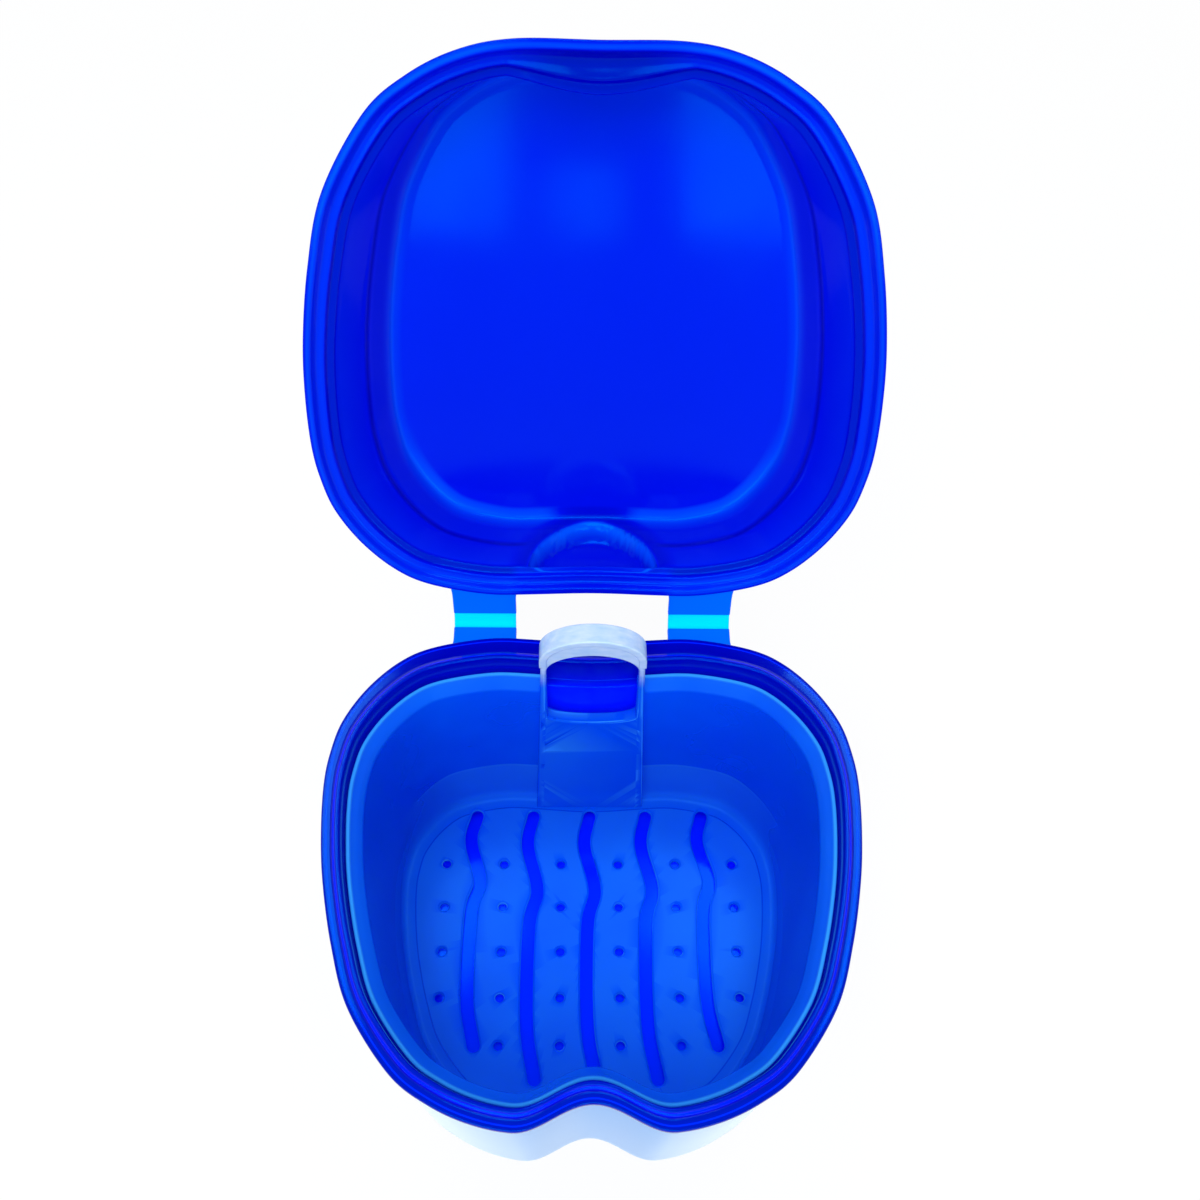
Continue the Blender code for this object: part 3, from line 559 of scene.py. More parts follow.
jacketCorners = [
    corner(3.2, 0.0, shrink=0.0),
    corner(2.4, 0.0, 0.9),
    corner(1.6, 1.0, 0.9),
    corner(0.6, jacketTop, 0.3),
    corner(0.6 + jacketSize["wall"], jacketTop, 0.3),
    corner(1.6 + jacketSize["wall"], 2.5, 1.2),
    corner(4.2, jacketSize["floor"], 0.6),
    corner(5.0, jacketSize["floor"], shrink=0.0),
]
jacket = sweepShell("outerJacket", jacketCorners, rim, jacketMoulding, baseFrame)
smoothShading(jacket)
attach(jacket, "base")
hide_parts("outer_jacket")

lowTub = {"sides": 1.0, "back": 3.5, "front": 1.0}
beadBack = {"back": 1.9}
tubFloor = tubBottom + tubSize["floor"]
platform = tubFloor + tubSize["platform"]
# painted shading on the rim: a highlight line on the flange top, with shade painted on its outer edge, on the
# bead and down its inner side
tubCorners = [
    corner(9.0, tubBottom, shrink=0.0, **lowTub),
    corner(4.0, tubBottom, 3.0, **lowTub),
    corner(4.0, tubSize["ledge"] - 1.6, 0.3, **beadBack),
    corner(2.4, tubSize["ledge"], 0.5, back=0.95),
    corner(2.4, rimTop - tubSize["flange"], 0.2),
    corner(0.0, rimTop - tubSize["flange"], 0.45, tone=-0.9),
    corner(0.0, rimTop, 0.6, tone=-0.9),
    corner(0.7, rimTop, tone=-0.8),
    corner(0.9, rimTop, tone=0.35),
    corner(1.1, rimTop, tone=-0.8),
    corner(1.9, rimTop, 0.3, tone=-0.9, back=1.5),
    corner(2.2, rimTop + 0.8, 0.2, tone=-0.2, **beadBack),
    corner(2.55, rimTop + 0.85, 0.15, tone=-0.2, **beadBack),
    corner(2.7, beadTop, 0.2, tone=-0.8, **beadBack),
    corner(3.4, beadTop, 0.35, tone=-0.8, **beadBack),
    corner(3.6, rimTop, tone=-0.8, **beadBack),
    corner(3.6, tubSize["ledge"], 0.2, tone=-0.5, **beadBack),
    corner(5.2, tubSize["ledge"], 0.3, **beadBack),
    corner(5.2, tubFloor, 3.5, **lowTub),
    corner(10.4, tubFloor, 0.2, **lowTub),
    corner(10.8, platform, 0.4, **lowTub),
    corner(13.0, platform, shrink=0.0, **lowTub),
]
tub = sweepShell("tubShell", tubCorners, rim, blueMoulding, baseFrame)
smoothShading(tub, 50)
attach(tub, "base")
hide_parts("tub")
print("jacket and tub made")


# Basket: shell, handle, drain holes and slots

lowBasket = {"sides": 1.2, "back": 5.3, "front": 1.6}
midBasket = {"sides": 0.8, "back": 3.9, "front": 1.0}
topBasket = {"back": 2.3}
ridge = basketFloor + basketSize["ridge"]
# painted shading on the basket: a highlight on the lip and band, one along the back's ridge, a shade line at
# the floor's edge and a paler floor
basketCorners = [
    corner(9.0, basketBottom, shrink=0.0, **lowBasket),
    corner(5.4, basketBottom, 2.2, **lowBasket),
    corner(5.6, bandBottom, 0.2, **topBasket),
    corner(4.0, bandBottom, 0.2, tone=0.3, **topBasket),
    corner(4.0, basketTop, 0.3, tone=0.9, **topBasket),
    corner(4.6, basketTop, 0.25, tone=0.9, **topBasket),
    corner(4.85, basketTop - 0.3, tone=0.1, **topBasket),
    corner(6.5, bandBottom + 0.1, 0.2, tone=0.12, **topBasket),
    corner(6.65, bandBottom - 0.4, **topBasket),
    corner(6.6, ridge + 0.4, **midBasket),
    corner(6.6, ridge, 0.2, tone=0.05, backTone=0.6, **midBasket),
    corner(6.65, ridge - 0.7, tone=0.08, backTone=0.3, **midBasket),
    corner(6.7, basketFloor, 2.6, tone=0.15, backTone=0.1, **lowBasket),
    corner(9.3, basketFloor, tone=0.1, **lowBasket),
    corner(9.45, basketFloor, tone=-0.6, **lowBasket),
    corner(9.7, basketFloor, tone=0.25, **lowBasket),
    corner(13.0, basketFloor, shrink=0.0, tone=0.25, **lowBasket),
]
basketShell = sweepShell("basketShell", basketCorners, rim, basketMoulding, baseFrame)

# the strap's rounded edge and its two long strips carry painted highlights
handleSize = {
    "topWidth": 19.2, "footWidth": 22.9, "crown": 13.2, "shoulder": 7.0, "thickness": 2.6, "edge": 0.45,
    "edgeHighlight": 0.8, "strip": 1.3, "stripFade": 0.35, "stripHighlight": 0.7, "atRim": 10.9, "atFloor": 14.7,
    "gripDepth": 4.3, "gripBar": 1.4, "gripProud": 0.3, "gripEdge": 0.3, "holeWidth": 16.8, "holeCrown": 8.7,
    "holeShoulder": 3.8, "holeDrop": 10.0, "holeSag": 2.0, "cutterGrowth": 1.004, "cutterLength": 24.0,
}


def archPoints(halfWidth, low, crown, steps=28):
    angles = [math.pi * step / steps for step in range(steps + 1)]
    return [(halfWidth * math.cos(a), low + (crown - low) * math.sin(a)) for a in angles]


def densified(points, longest=2.0):
    dense = []
    for (ax, ay), (bx, by) in zip(points, points[1:] + points[:1]):
        pieces = max(1, int(math.dist((ax, ay), (bx, by)) / longest))
        dense += [(ax + (bx - ax) * k / pieces, ay + (by - ay) * k / pieces) for k in range(pieces)]
    return dense


def roundedPlate(name, outlines, thickness, rounding, place, edgeHighlight=0.0, steps=6):
    # the first outline runs anticlockwise and any hole in it clockwise, so that left is always into the plate
    work = bmesh.new()
    tone = work.verts.layers.float.new("tone")
    levels = [(rounding * (1 - math.cos(a)), thickness / 2 - rounding + rounding * math.sin(a))
              for a in (math.pi / 2 * step / steps for step in range(steps + 1))]
    if rounding == 0:
        levels = [(0.0, thickness / 2)]
    levels = [(inset, -z) for inset, z in reversed(levels)] + levels
    caps = ([], [])
    for outline in outlines:
        count = len(outline)
        lefts = []
        for i in range(count):
            (ax, ay), (bx, by) = outline[i - 1], outline[(i + 1) % count]
            length = math.dist((ax, ay), (bx, by))
            lefts.append(((ay - by) / length, (bx - ax) / length))
        rows = [[work.verts.new(((x + lx * inset) * mm, (y + ly * inset) * mm, z * mm))
                 for (x, y), (lx, ly) in zip(outline, lefts)] for inset, z in levels]
        # the rounded edge gets a painted highlight
        for row, (inset, _) in zip(rows, levels):
            for vert in row:
                vert[tone] = edgeHighlight if inset < rounding * 0.9 else 0.0
        skinLoops(work, rows)
        for cap, row in zip(caps, (rows[0], rows[-1])):
            cap += [work.edges.get((row[i], row[(i + 1) % count])) for i in range(count)]
    for cap in caps:
        bmesh.ops.triangle_fill(work, edges=cap, use_beauty=True)
    plate = newObject(name, meshFrom(name, work))
    plate.data.transform(place)
    return plate


def highlightStrips(plate, place, size, floor):
    # painted highlights along the strap's two long edges: its faces are cut along them and the outer parts
    # painted lighter
    top, foot = Vector((size["topWidth"] / 2, size["shoulder"])), Vector((size["footWidth"] / 2, floor))
    along = (top - foot).normalized()
    outward = Vector((along.y, -along.x))
    work = bmesh.new()
    work.from_mesh(plate.data)
    work.transform(place.inverted())
    for side in (1, -1):
        for inset in (size["strip"], size["strip"] + size["stripFade"]):
            point = (foot - outward * inset) * mm
            everything = [*work.verts, *work.edges, *work.faces]
            bmesh.ops.bisect_plane(work, geom=everything, plane_co=(point.x * side, point.y, 0),
                                   plane_no=(outward.x * side, outward.y, 0))
    tone = work.verts.layers.float["tone"]
    for vert in work.verts:
        reach = (Vector((abs(vert.co.x), vert.co.y)) / mm - foot).dot(outward)
        if reach > -size["strip"] - 0.05:
            vert[tone] = size["stripHighlight"]
    work.transform(place)
    work.to_mesh(plate.data)
    work.free()


def handlePlates(size):
    # in the strap's own plane: x across, y up from the rim's height, z towards the front
    run = size["atFloor"] - size["atRim"]
    rise = bandBottom - basketFloor
    frontAtRim = rim["depth"] / 2 - size["atRim"] + run / rise * (rimTop - bandBottom)
    lean = Matrix.Rotation(-math.atan2(run, rise), 4, "X")
    upright = Matrix.Rotation(math.pi / 2, 4, "X")
    place = Matrix.Translation((0, frontAtRim * mm, rimTop * mm)) @ lean @ upright
    floor = basketFloor - rimTop - basketSize["floor"] / 2
    top, foot, bar = size["topWidth"] / 2, size["footWidth"] / 2, size["gripBar"]
    proud = size["gripProud"]
    strapLine = [(-foot, floor), (foot, floor)]
    strapLine += archPoints(top - proud, size["shoulder"], size["crown"] - proud)
    half = size["holeWidth"] / 2
    hole = archPoints(half, size["holeShoulder"], size["holeCrown"])
    hole += [(x, -size["holeDrop"] - sag) for x, sag in reversed(archPoints(half, 0.0, size["holeSag"]))]
    legEnd = size["shoulder"] - bar
    outer = archPoints(top, size["shoulder"], size["crown"])
    inner = archPoints(top - bar, size["shoulder"], size["crown"] - bar)
    gripLine = [(top, legEnd), *outer, (-top, legEnd)]
    gripLine += [(bar - top, legEnd), *reversed(inner), (top - bar, legEnd)]
    backwards = place @ Matrix.Translation((0, 0, -size["thickness"] / 2 * mm))
    forwards = place @ Matrix.Translation((0, 0, (proud - size["gripDepth"] / 2) * mm))
    strap = roundedPlate("handleStrap", [densified(strapLine), densified(hole)[::-1]], size["thickness"],
                         size["edge"], backwards, size["edgeHighlight"])
    highlightStrips(strap, backwards, size, floor)
    grip = roundedPlate("handleGrip", [densified(gripLine)], size["gripDepth"], size["gripEdge"], forwards)
    wider = [(x * size["cutterGrowth"], y * size["cutterGrowth"]) for x, y in hole]
    return strap, grip, roundedPlate("gripHoleCutter", [densified(wider)], size["cutterLength"], 0, place)


def booleanStep(target, tool, operation):
    step = target.modifiers.new(tool.name, "BOOLEAN")
    step.operation = operation
    step.solver = "EXACT"
    step.object = tool


strap, grip, gripCutter = handlePlates(handleSize)
booleanStep(basketShell, gripCutter, "DIFFERENCE")
booleanStep(basketShell, strap, "UNION")
booleanStep(basketShell, grip, "UNION")

drainSize = {
    "holeDiameter": 1.8, "columns": 6, "rows": 5, "lastColumns": 4, "pitchX": 12.1, "pitchY": 9.6,
    "firstRow": 27.9, "slotWidth": 2.6, "slotStart": 16.8, "longSlot": 56.0, "shortSlot": 49.5, "wave": 1.1,
    "flare": 0.35,
    "waveShares": ((0.00, 0.0), (0.12, -1.0), (0.30, 1.0), (0.44, -0.4), (0.80, -0.5), (1.00, 1.1)),
}


def cutterObject(name, outline, widened):
    # a bar through the floor whose top opens out, from an outline and the same outline drawn wider
    flare = drainSize["flare"]
    levels = ((basketBottom - 1, outline), (basketFloor - flare, outline), (basketFloor + flare, widened))
    work = bmesh.new()
    rows = [[work.verts.new((x * mm, y * mm, height * mm)) for x, y in points] for height, points in levels]
    skinLoops(work, rows)
    work.faces.new(list(reversed(rows[0])))
    work.faces.new(rows[-1])
    return newObject(name, meshFrom(name, work))


def circlePoints(radius, count=24):
    angles = [2 * math.pi * i / count for i in range(count)]
    return [(radius * math.cos(a), radius * math.sin(a)) for a in angles]


def slotPoints(length, half, steps=44, endSteps=8):
    knots = [Vector((wave * drainSize["wave"], -share * length)) for share, wave in drainSize["waveShares"]]
    knots = [2 * knots[0] - knots[1], *knots, 2 * knots[-1] - knots[-2]]
    spans = len(knots) - 3
    path = []
    for step in range(steps):
        place = step / (steps - 1) * spans
        span = min(int(place), spans - 1)
        path.append(throughPoints(*knots[span:span + 4], place - span))
    along = [(path[min(i + 1, steps - 1)] - path[max(i - 1, 0)]).normalized() for i in range(steps)]
    square = [Vector((t.y, -t.x)) for t in along]
    turns = [math.pi * step / endSteps for step in range(1, endSteps)]
    points = [p + s * half for p, s in zip(path, square)]
    points += [path[-1] + (square[-1] * math.cos(a) + along[-1] * math.sin(a)) * half for a in turns]
    points += [p - s * half for p, s in zip(reversed(path), reversed(square))]
    points += [path[0] - (square[0] * math.cos(a) + along[0] * math.sin(a)) * half for a in turns]
    return [(p.x, p.y) for p in points]


def makeDrainTree():
    tree, given = startTree("drainPattern", (
        ("Hole Cutter", "Object"), ("Long Slot Cutter", "Object"), ("Short Slot Cutter", "Object"),
        ("Columns", "Int"), ("Rows", "Int"), ("Last Row Columns", "Int"), ("Pitch X", "Float"),
        ("Pitch Y", "Float"), ("First Row Y", "Float"), ("Slot Back Y", "Float"), ("Material", "Material")))
    calc = calculator(tree)

    def point(x, y):
        return addNode(tree, "ShaderNodeCombineXYZ", {}, {0: x, 1: y}).outputs[0]

    def copies(points, cutter):
        shape = addNode(tree, "GeometryNodeObjectInfo", {}, {"Object": cutter}).outputs["Geometry"]
        placed = addNode(tree, "GeometryNodeInstanceOnPoints", {}, {"Points": points, "Instance": shape})
        return placed.outputs[0]

    def slotLine(first, step, count):
        start = point(calc("MULTIPLY", given["Pitch X"], first), given["Slot Back Y"])
        return addNode(tree, "GeometryNodeMeshLine", {"mode": "OFFSET"}, {
            "Count": count, "Start Location": start,
            "Offset": point(calc("MULTIPLY", given["Pitch X"], step), 0.0)}).outputs[0]

    spanX = calc("MULTIPLY", given["Pitch X"], calc("SUBTRACT", given["Columns"], 1.0))
    spanY = calc("MULTIPLY", given["Pitch Y"], calc("SUBTRACT", given["Rows"], 1.0))
    grid = addNode(tree, "GeometryNodeMeshGrid", {}, {
        "Size X": spanX, "Size Y": spanY, "Vertices X": given["Columns"], "Vertices Y": given["Rows"]})
    place = addNode(tree, "GeometryNodeInputPosition").outputs[0]
    placeX, placeY, _ = addNode(tree, "ShaderNodeSeparateXYZ", {}, {0: place}).outputs
    lastRow = calc("LESS_THAN", placeY, calc("MULTIPLY", calc("SUBTRACT", spanY, given["Pitch Y"]), -0.5))
    kept = calc("MULTIPLY", calc("MULTIPLY", given["Pitch X"], given["Last Row Columns"]), 0.5)
    outer = calc("GREATER_THAN", calc("ABSOLUTE", placeX), kept)
    fewer = addNode(tree, "GeometryNodeDeleteGeometry", {"domain": "POINT"}, {
        "Geometry": grid.outputs["Mesh"], "Selection": calc("MULTIPLY", lastRow, outer)}).outputs[0]
    shift = point(0.0, calc("SUBTRACT", given["First Row Y"], calc("MULTIPLY", spanY, 0.5)))
    moved = addNode(tree, "GeometryNodeTransform", {}, {"Geometry": fewer, "Translation": shift})
    bars = addNode(tree, "GeometryNodeJoinGeometry")
    for places, cutter in ((moved.outputs[0], "Hole Cutter"), (slotLine(-1.0, 1.0, 3), "Long Slot Cutter"),
                           (slotLine(-2.0, 4.0, 2), "Short Slot Cutter")):
        tree.links.new(copies(places, given[cutter]), bars.inputs[0])
    solid = addNode(tree, "GeometryNodeRealizeInstances", {}, {"Geometry": bars.outputs[0]}).outputs[0]
    cut = addNode(tree, "GeometryNodeMeshBoolean", {"operation": "DIFFERENCE", "solver": "EXACT"})
    tree.links.new(given["Geometry"], cut.inputs[0])
    tree.links.new(solid, cut.inputs[1])
    finishTree(tree, cut.outputs[0], given["Material"])
    return tree


holeRadius, slotHalf = drainSize["holeDiameter"] / 2, drainSize["slotWidth"] / 2
flared = 2 * drainSize["flare"]
holeCutter = cutterObject("holeCutter", circlePoints(holeRadius), circlePoints(holeRadius + flared))
longCutter, shortCutter = (cutterObject(name + "Cutter", slotPoints(drainSize[name], slotHalf),
                                        slotPoints(drainSize[name], slotHalf + flared))
                           for name in ("longSlot", "shortSlot"))
useTree(basketShell, makeDrainTree(), {
    "Hole Cutter": holeCutter, "Long Slot Cutter": longCutter, "Short Slot Cutter": shortCutter,
    "Columns": drainSize["columns"], "Rows": drainSize["rows"], "Last Row Columns": drainSize["lastColumns"],
    "Pitch X": drainSize["pitchX"] * mm, "Pitch Y": drainSize["pitchY"] * mm,
    "First Row Y": (rim["depth"] / 2 - drainSize["firstRow"]) * mm,
    "Slot Back Y": (rim["depth"] / 2 - drainSize["slotStart"]) * mm, "Material": basketMoulding})
basket = bakeModifiers(basketShell, "basketShell")
for helper in (strap, grip, gripCutter, holeCutter, longCutter, shortCutter):
    bpy.data.objects.remove(helper, do_unlink=True)
weldOutwards(basket, 0.001 * mm)
smoothShading(basket, 35)
evenNormals = basket.modifiers.new("evenNormals", "WEIGHTED_NORMAL")
evenNormals.keep_sharp = True
basket = bakeModifiers(basket, "basketShell")
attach(basket, "basket")
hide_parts("basket")
print("basket made:", len(basket.data.polygons), "faces")


# Lid

lidSize = {
    "width": 93.8, "depth": 86.6, "around": 480, "notchHalf": 12.6, "notchArc": 0.8, "dimpleHalf": 18.0,
    "niche": {"halfWidth": 11.6, "height": 12.2, "start": 2.3, "edge": 1.0}, "ahead": 5.5,
    "everywhere": {"dimple": 0.5},
}
hinge = next(joint for joint in frame["record"]["behaviour"]["joints"] if joint["name"] == "lid_hinge")
hingeY, hingeZ = hinge["pos_m"][1] / mm, hinge["pos_m"][2] / mm
openTilt = math.radians(180 + hinge["range_deg"][0])
lidFrame = (Matrix.Translation((0, hingeY * mm, hingeZ * mm)) @ Matrix.Rotation(openTilt, 4, "X")
            @ Matrix.Translation((0, lidSize["ahead"] * mm, 0)) @ Matrix.Diagonal((1, 1, -1, 1)))

wallFoot = {"notch": 2.2}
nearShoulder = {"sides": 4.0, "back": 0.7, "front": 0.7, "notch": 1.0}
shoulder = {"sides": 4.5, "back": 0.8, "front": 0.8, "notch": 0.8}
pastShoulder = {"sides": 4.9, "back": 0.9, "front": 0.9, "notch": 0.6}
ceiling = {"sides": 6.7, "back": 1.4, "front": 1.4}
# painted shading on the lid: shade on the outer edge, in the groove at the wall's foot and in the shoulder's
# crease, and highlights on the rim, the lip and along the ceiling's fillet and band
lidCorners = [
    corner(10.0, 16.9, shrink=0.0, **ceiling),
    corner(2.9, 16.9, 2.2, niche=3.2, **ceiling),
    corner(2.7, 9.0, 1.0, niche=3.2, **shoulder),
    corner(2.7, 4.4, 0.3, niche=3.2, notch=1.6),
    corner(2.7, 3.4, 0.4, niche=1.6, notch=1.6),
    corner(0.6, 3.4, 0.6, tone=-0.5),
    corner(0.0, 0.0, 0.35, tone=-0.6),
    corner(0.45, 0.0, tone=0.1),
    corner(0.7, 0.0, tone=0.4),
    corner(1.2, 0.0, 0.3, tone=0.1),
    corner(1.8, 1.3, 0.5, notch=0.2, sink=0.8, tone=0.1),
    corner(2.6, 1.4, notch=1.2, sink=0.9, tone=0.15),
    corner(3.1, 1.4, 0.2, notch=1.9, sink=0.9, tone=0.05),
    corner(3.4, 2.3, 0.25, notch=2.2, sink=0.3, tone=-0.75),
    corner(4.5, 2.4, 0.2, tone=-0.75, **wallFoot),
    corner(4.7, 3.0, niche=3.6, tone=0.1, **wallFoot),
    corner(4.4, 8.3, niche=3.6, **nearShoulder),
    corner(4.4, 8.8, niche=3.6, tone=-0.9, **shoulder),
    corner(4.4, 9.3, niche=3.6, tone=-0.6, **shoulder),
    corner(4.4, 9.8, niche=3.6, tone=0.05, **pastShoulder),
    corner(4.4, 13.7, 0.8, niche=3.6, tone=0.05, **ceiling),
    corner(5.3, 15.3, 0.5, niche=1.0, tone=0.55, **ceiling),
    corner(5.9, 15.5, tone=0.2, backTone=0.5, **ceiling),
    corner(7.2, 15.5, backTone=0.45, **ceiling),
    corner(7.9, 15.5, **ceiling),
    corner(10.0, 15.5, shrink=0.0, **ceiling),
]
lid = sweepShell("lidShell", lidCorners, lidSize, shadedDomeMoulding, lidFrame, longestRun=0.7)
smoothShading(lid, 50)
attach(lid, "lid")
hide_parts("lid")
print("lid made:", len(lid.data.polygons), "faces")


# Straps: a leaf on the tub, a leaf on the lid and the thin web between them

strapSize = {"width": 11.7, "spacing": 40.1, "leaf": 1.2, "web": 0.5, "webReach": 1.3, "seat": 0.7,
             "flare": 0.35, "below": 0.25, "edge": 0.28}


def edgeLine(width, depth, dimple, dimpleHalf):
    # distance of the hinge-side edge from the outline's back, at a given x
    points = sorted((p for p in smoothOutline(width, depth, 720) if p.y < depth / 2), key=lambda p: p.x)

    def at(x):
        left, right = next((a, b) for a, b in zip(points, points[1:]) if a.x <= x <= b.x)
        share = (x - left.x) / (right.x - left.x)
        dent = dimple * (0.5 + 0.5 * math.cos(math.pi * min(abs(x) / dimpleHalf, 1)))
        return left.y + (right.y - left.y) * share + dent
    return at


def stripRing(work, halfWidth, thickness, place, cornerSteps=4):
    # rounded cross-section of a strap; place gives the world point for x across and z up from its middle
    rounding = min(strapSize["edge"], thickness * 0.45)
    ring = []
    for sideX, sideZ, start in ((1, 1, 0), (-1, 1, 1), (-1, -1, 2), (1, -1, 3)):
        centreX, centreZ = sideX * (halfWidth - rounding), sideZ * (thickness / 2 - rounding)
        for step in range(cornerSteps + 1):
            angle = (start + step / cornerSteps) * math.pi / 2
            ring.append((centreX + rounding * math.cos(angle), centreZ + rounding * math.sin(angle)))
    return [work.verts.new(Vector(place(x, z)) * mm) for x, z in densified(ring, 1.0)]


def stripObject(name, stations, material):
    work = bmesh.new()
    # the rings differ by less than a densified step, so each has the same count of points
    rows = [stripRing(work, *station) for station in stations]
    skinLoops(work, rows)
    work.faces.new(list(reversed(rows[0])))
    work.faces.new(rows[-1])
    mesh = meshFrom(name, work)
    mesh.materials.append(material)
    piece = newObject(name, mesh)
    smoothShading(piece, 40)
    return piece


tubEdge = edgeLine(rim["width"], rim["depth"], rim["everywhere"]["dimple"], rim["dimpleHalf"])
lidEdge = edgeLine(lidSize["width"], lidSize["depth"], lidSize["everywhere"]["dimple"], lidSize["dimpleHalf"])
leafDrop = strapSize["leaf"] / 2 + strapSize["below"]
tubLeafHeight = rimTop - leafDrop
lidTurn = Matrix.Rotation(openTilt, 3, "X")


def lidPlace(x, y, z):
    turned = lidTurn @ Vector((0, y, z))
    return Vector((x, hingeY + turned.y, hingeZ + turned.z))


def leafStations(middle, steps=8):
    size = strapSize
    onTub, onLid = [], []
    for step in range(steps + 1):
        share = step / steps
        halfWidth = size["width"] / 2 + size["flare"] * max(0.0, 1 - 2.2 * share) ** 2

        def tubPlace(x, z, share=share):
            start = rim["depth"] / 2 - tubEdge(middle + x) - size["seat"]
            return middle + x, start + (hingeY - size["webReach"] - start) * share, tubLeafHeight + z

        def lidLeafPlace(x, z, share=share):
            start = lidSize["ahead"] + lidEdge(middle + x) + size["seat"]
            return lidPlace(middle + x, start + (size["webReach"] - start) * share, z - leafDrop)

        onTub.append((halfWidth, size["leaf"], tubPlace))
        onLid.append((halfWidth, size["leaf"], lidLeafPlace))
    return onTub, onLid


def webStations(middle, steps=20, tuck=0.25):
    size = strapSize
    start = Vector((0, -size["webReach"] - tuck, tubLeafHeight - hingeZ))
    finish = lidTurn @ Vector((0, size["webReach"] + tuck, -leafDrop))
    knee = Vector((0, 0, -leafDrop))
    stations = []
    for step in range(steps + 1):
        t = step / steps
        point = start * (1 - t) ** 2 + knee * 2 * t * (1 - t) + finish * t * t
        along = ((knee - start) * (1 - t) + (finish - knee) * t).normalized()
        thickness = size["web"] + (size["leaf"] - 0.1 - size["web"]) * abs(2 * t - 1) ** 7

        def webPlace(x, z, point=point, up=Vector((0, -along.z, along.y))):
            return middle + x, hingeY + point.y + up.y * z, hingeZ + point.z + up.z * z

        stations.append((size["width"] / 2 - 0.06, thickness, webPlace))
    return stations


for side, middle in (("left", -strapSize["spacing"] / 2), ("right", strapSize["spacing"] / 2)):
    onTub, onLid = leafStations(middle)
    tubLeaf = stripObject(f"tubLeaf{side.title()}", onTub, leafMoulding)
    lidLeaf = stripObject(f"lidLeaf{side.title()}", onLid, leafMoulding)
    web = stripObject(f"hingeWeb{side.title()}", webStations(middle), webMoulding)
    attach(tubLeaf, "base")
    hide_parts(f"tub_hinge_leaf_{side}")
    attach(lidLeaf, "lid")
    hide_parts(f"lid_hinge_leaf_{side}")
    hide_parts(f"hinge_web_{side}")
    tubSide = Vector((middle, hingeY - strapSize["webReach"], hingeZ)) * mm
    lidSide = lidPlace(middle, strapSize["webReach"], 0) * mm
    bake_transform(web, "base", "lid", start=tuple(tubSide), end=tuple(lidSide))
print("straps made")


# Floor, light and camera

def whiteForEye(tree, surface, backdrop, most=1.0):
    # camera, mirror and see-through rays find the white backdrop, all other light the real surface
    path = addNode(tree, "ShaderNodeLightPath").outputs
    calc = calculator(tree)
    seen = path["Is Camera Ray"]
    for ray in ("Is Glossy Ray", "Is Transmission Ray"):
        seen = calc("MAXIMUM", seen, path[ray])
    share = calc("MULTIPLY", seen, most)
    return addNode(tree, "ShaderNodeMixShader", {}, {0: share, 1: surface, 2: backdrop}).outputs[0]


def makeFloor(radius, below, whiteness):
    work = bmesh.new()
    bmesh.ops.create_circle(work, cap_ends=True, segments=96, radius=radius)
    mesh = bpy.data.meshes.new("paleFloor")
    work.to_mesh(mesh)
    work.free()
    floor = newObject("paleFloor", mesh)
    floor.location.z = -below
    material, tree, shader = blankMaterial("paintedStudioFloor")
    paint = mixedColour(tree, noiseAt(tree, 60, 3.0), "#F2F4F6", "#F8F9FA")
    fillInputs(tree, shader, {"Base Color": paint, "Roughness": 0.8})
    white = addNode(tree, "ShaderNodeEmission", {}, {"Color": (1, 1, 1, 1), "Strength": 1.0}).outputs[0]
    surface = whiteForEye(tree, shader.outputs[0], white, whiteness)
    tree.links.new(surface, tree.nodes["Material Output"].inputs["Surface"])
    mesh.materials.append(material)


def makeWorld(strength):
    world = bpy.data.worlds.new("softStudio")
    bpy.context.scene.world = world
    world.use_nodes = True
    tree = world.node_tree
    tree.nodes.clear()
    seen, lit = (addNode(tree, "ShaderNodeBackground", {}, {"Color": colour, "Strength": bright}).outputs[0]
                 for colour, bright in (((1, 1, 1, 1), 1.0), ((0.9, 0.95, 1, 1), strength)))
    addNode(tree, "ShaderNodeOutputWorld", {}, {"Surface": whiteForEye(tree, lit, seen)})


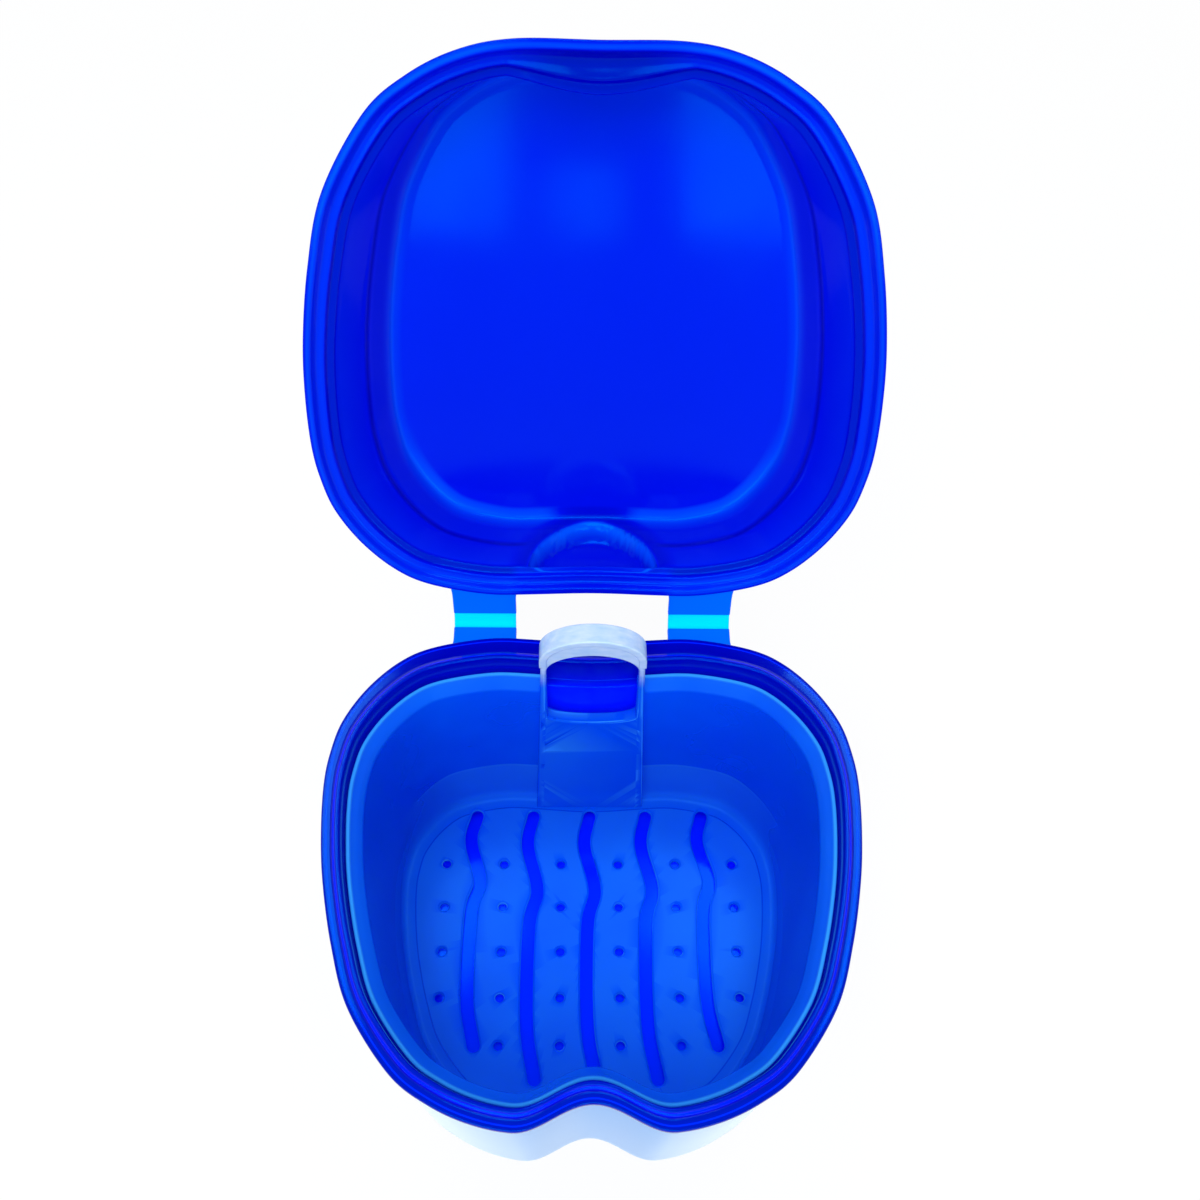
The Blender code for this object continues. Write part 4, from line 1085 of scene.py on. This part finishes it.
def softBox(name, place, aim, size, energy):
    data = bpy.data.lights.new(name, "AREA")
    data.shape = "RECTANGLE"
    data.size, data.size_y = size
    data.energy = energy
    lamp = bpy.data.objects.new(name, data)
    lamp.location = place
    lamp.rotation_mode = "QUATERNION"
    lamp.rotation_quaternion = (Vector(aim) - lamp.location).to_track_quat("-Z", "Y")
    bpy.context.scene.collection.objects.link(lamp)


def makeCamera(view):
    turn = Matrix.Rotation(view["yaw"], 3, "Z")
    forward = turn @ Vector((0, math.sin(view["tilt"]), -math.cos(view["tilt"])))
    upward = turn @ Vector((0, math.cos(view["tilt"]), math.sin(view["tilt"])))
    across = turn @ Vector((1, 0, 0))
    right = math.cos(view["roll"]) * across + math.sin(view["roll"]) * upward
    top = -math.sin(view["roll"]) * across + math.cos(view["roll"]) * upward
    data = bpy.data.cameras.new("photoCamera")
    data.lens = view["lens"]
    data.sensor_width = view["sensor"]
    data.shift_y = view["shiftY"]
    data.clip_start = 0.005
    camera = bpy.data.objects.new("photoCamera", data)
    turned = Matrix((right, top, -forward)).transposed().to_4x4()
    camera.matrix_world = Matrix.Translation(Vector(view["place"]) * mm) @ turned
    bpy.context.scene.collection.objects.link(camera)
    bpy.context.scene.camera = camera


makeFloor(radius=0.7, below=0.2 * mm, whiteness=0.92)
makeWorld(0.42)
case, dome = (0, 0, 0.05), (0, 0.09, 0.1)
for lampName, place, aim, size, energy in (
        ("Above", (-0.1, -0.4, 0.75), case, (0.5, 0.45), 4.1),
        ("BackLeft", (-0.24, 0.33, 0.85), case, (0.26, 0.3), 1.6),
        ("BackRight", (0.24, 0.33, 0.85), case, (0.26, 0.3), 1.6),
        ("FrontLeft", (-0.26, -1.0, 0.325), dome, (0.38, 0.36), 1.6),
        ("FrontRight", (0.3, -1.0, 0.325), dome, (0.4, 0.36), 1.7),
        ("FrontMiddle", (0.005, -1.0, 0.175), dome, (0.07, 0.06), 0.035)):
    softBox("softBox" + lampName, place, aim, size, energy)
makeCamera({"lens": 33.0, "sensor": 36.0, "tilt": 0.4476, "yaw": -0.05, "roll": 0.0487, "shiftY": 0.1513,
            "place": (-2.9, -68.6, 224.75)})
bpy.context.scene.view_settings.view_transform = "Standard"
print("floor, light and camera set")
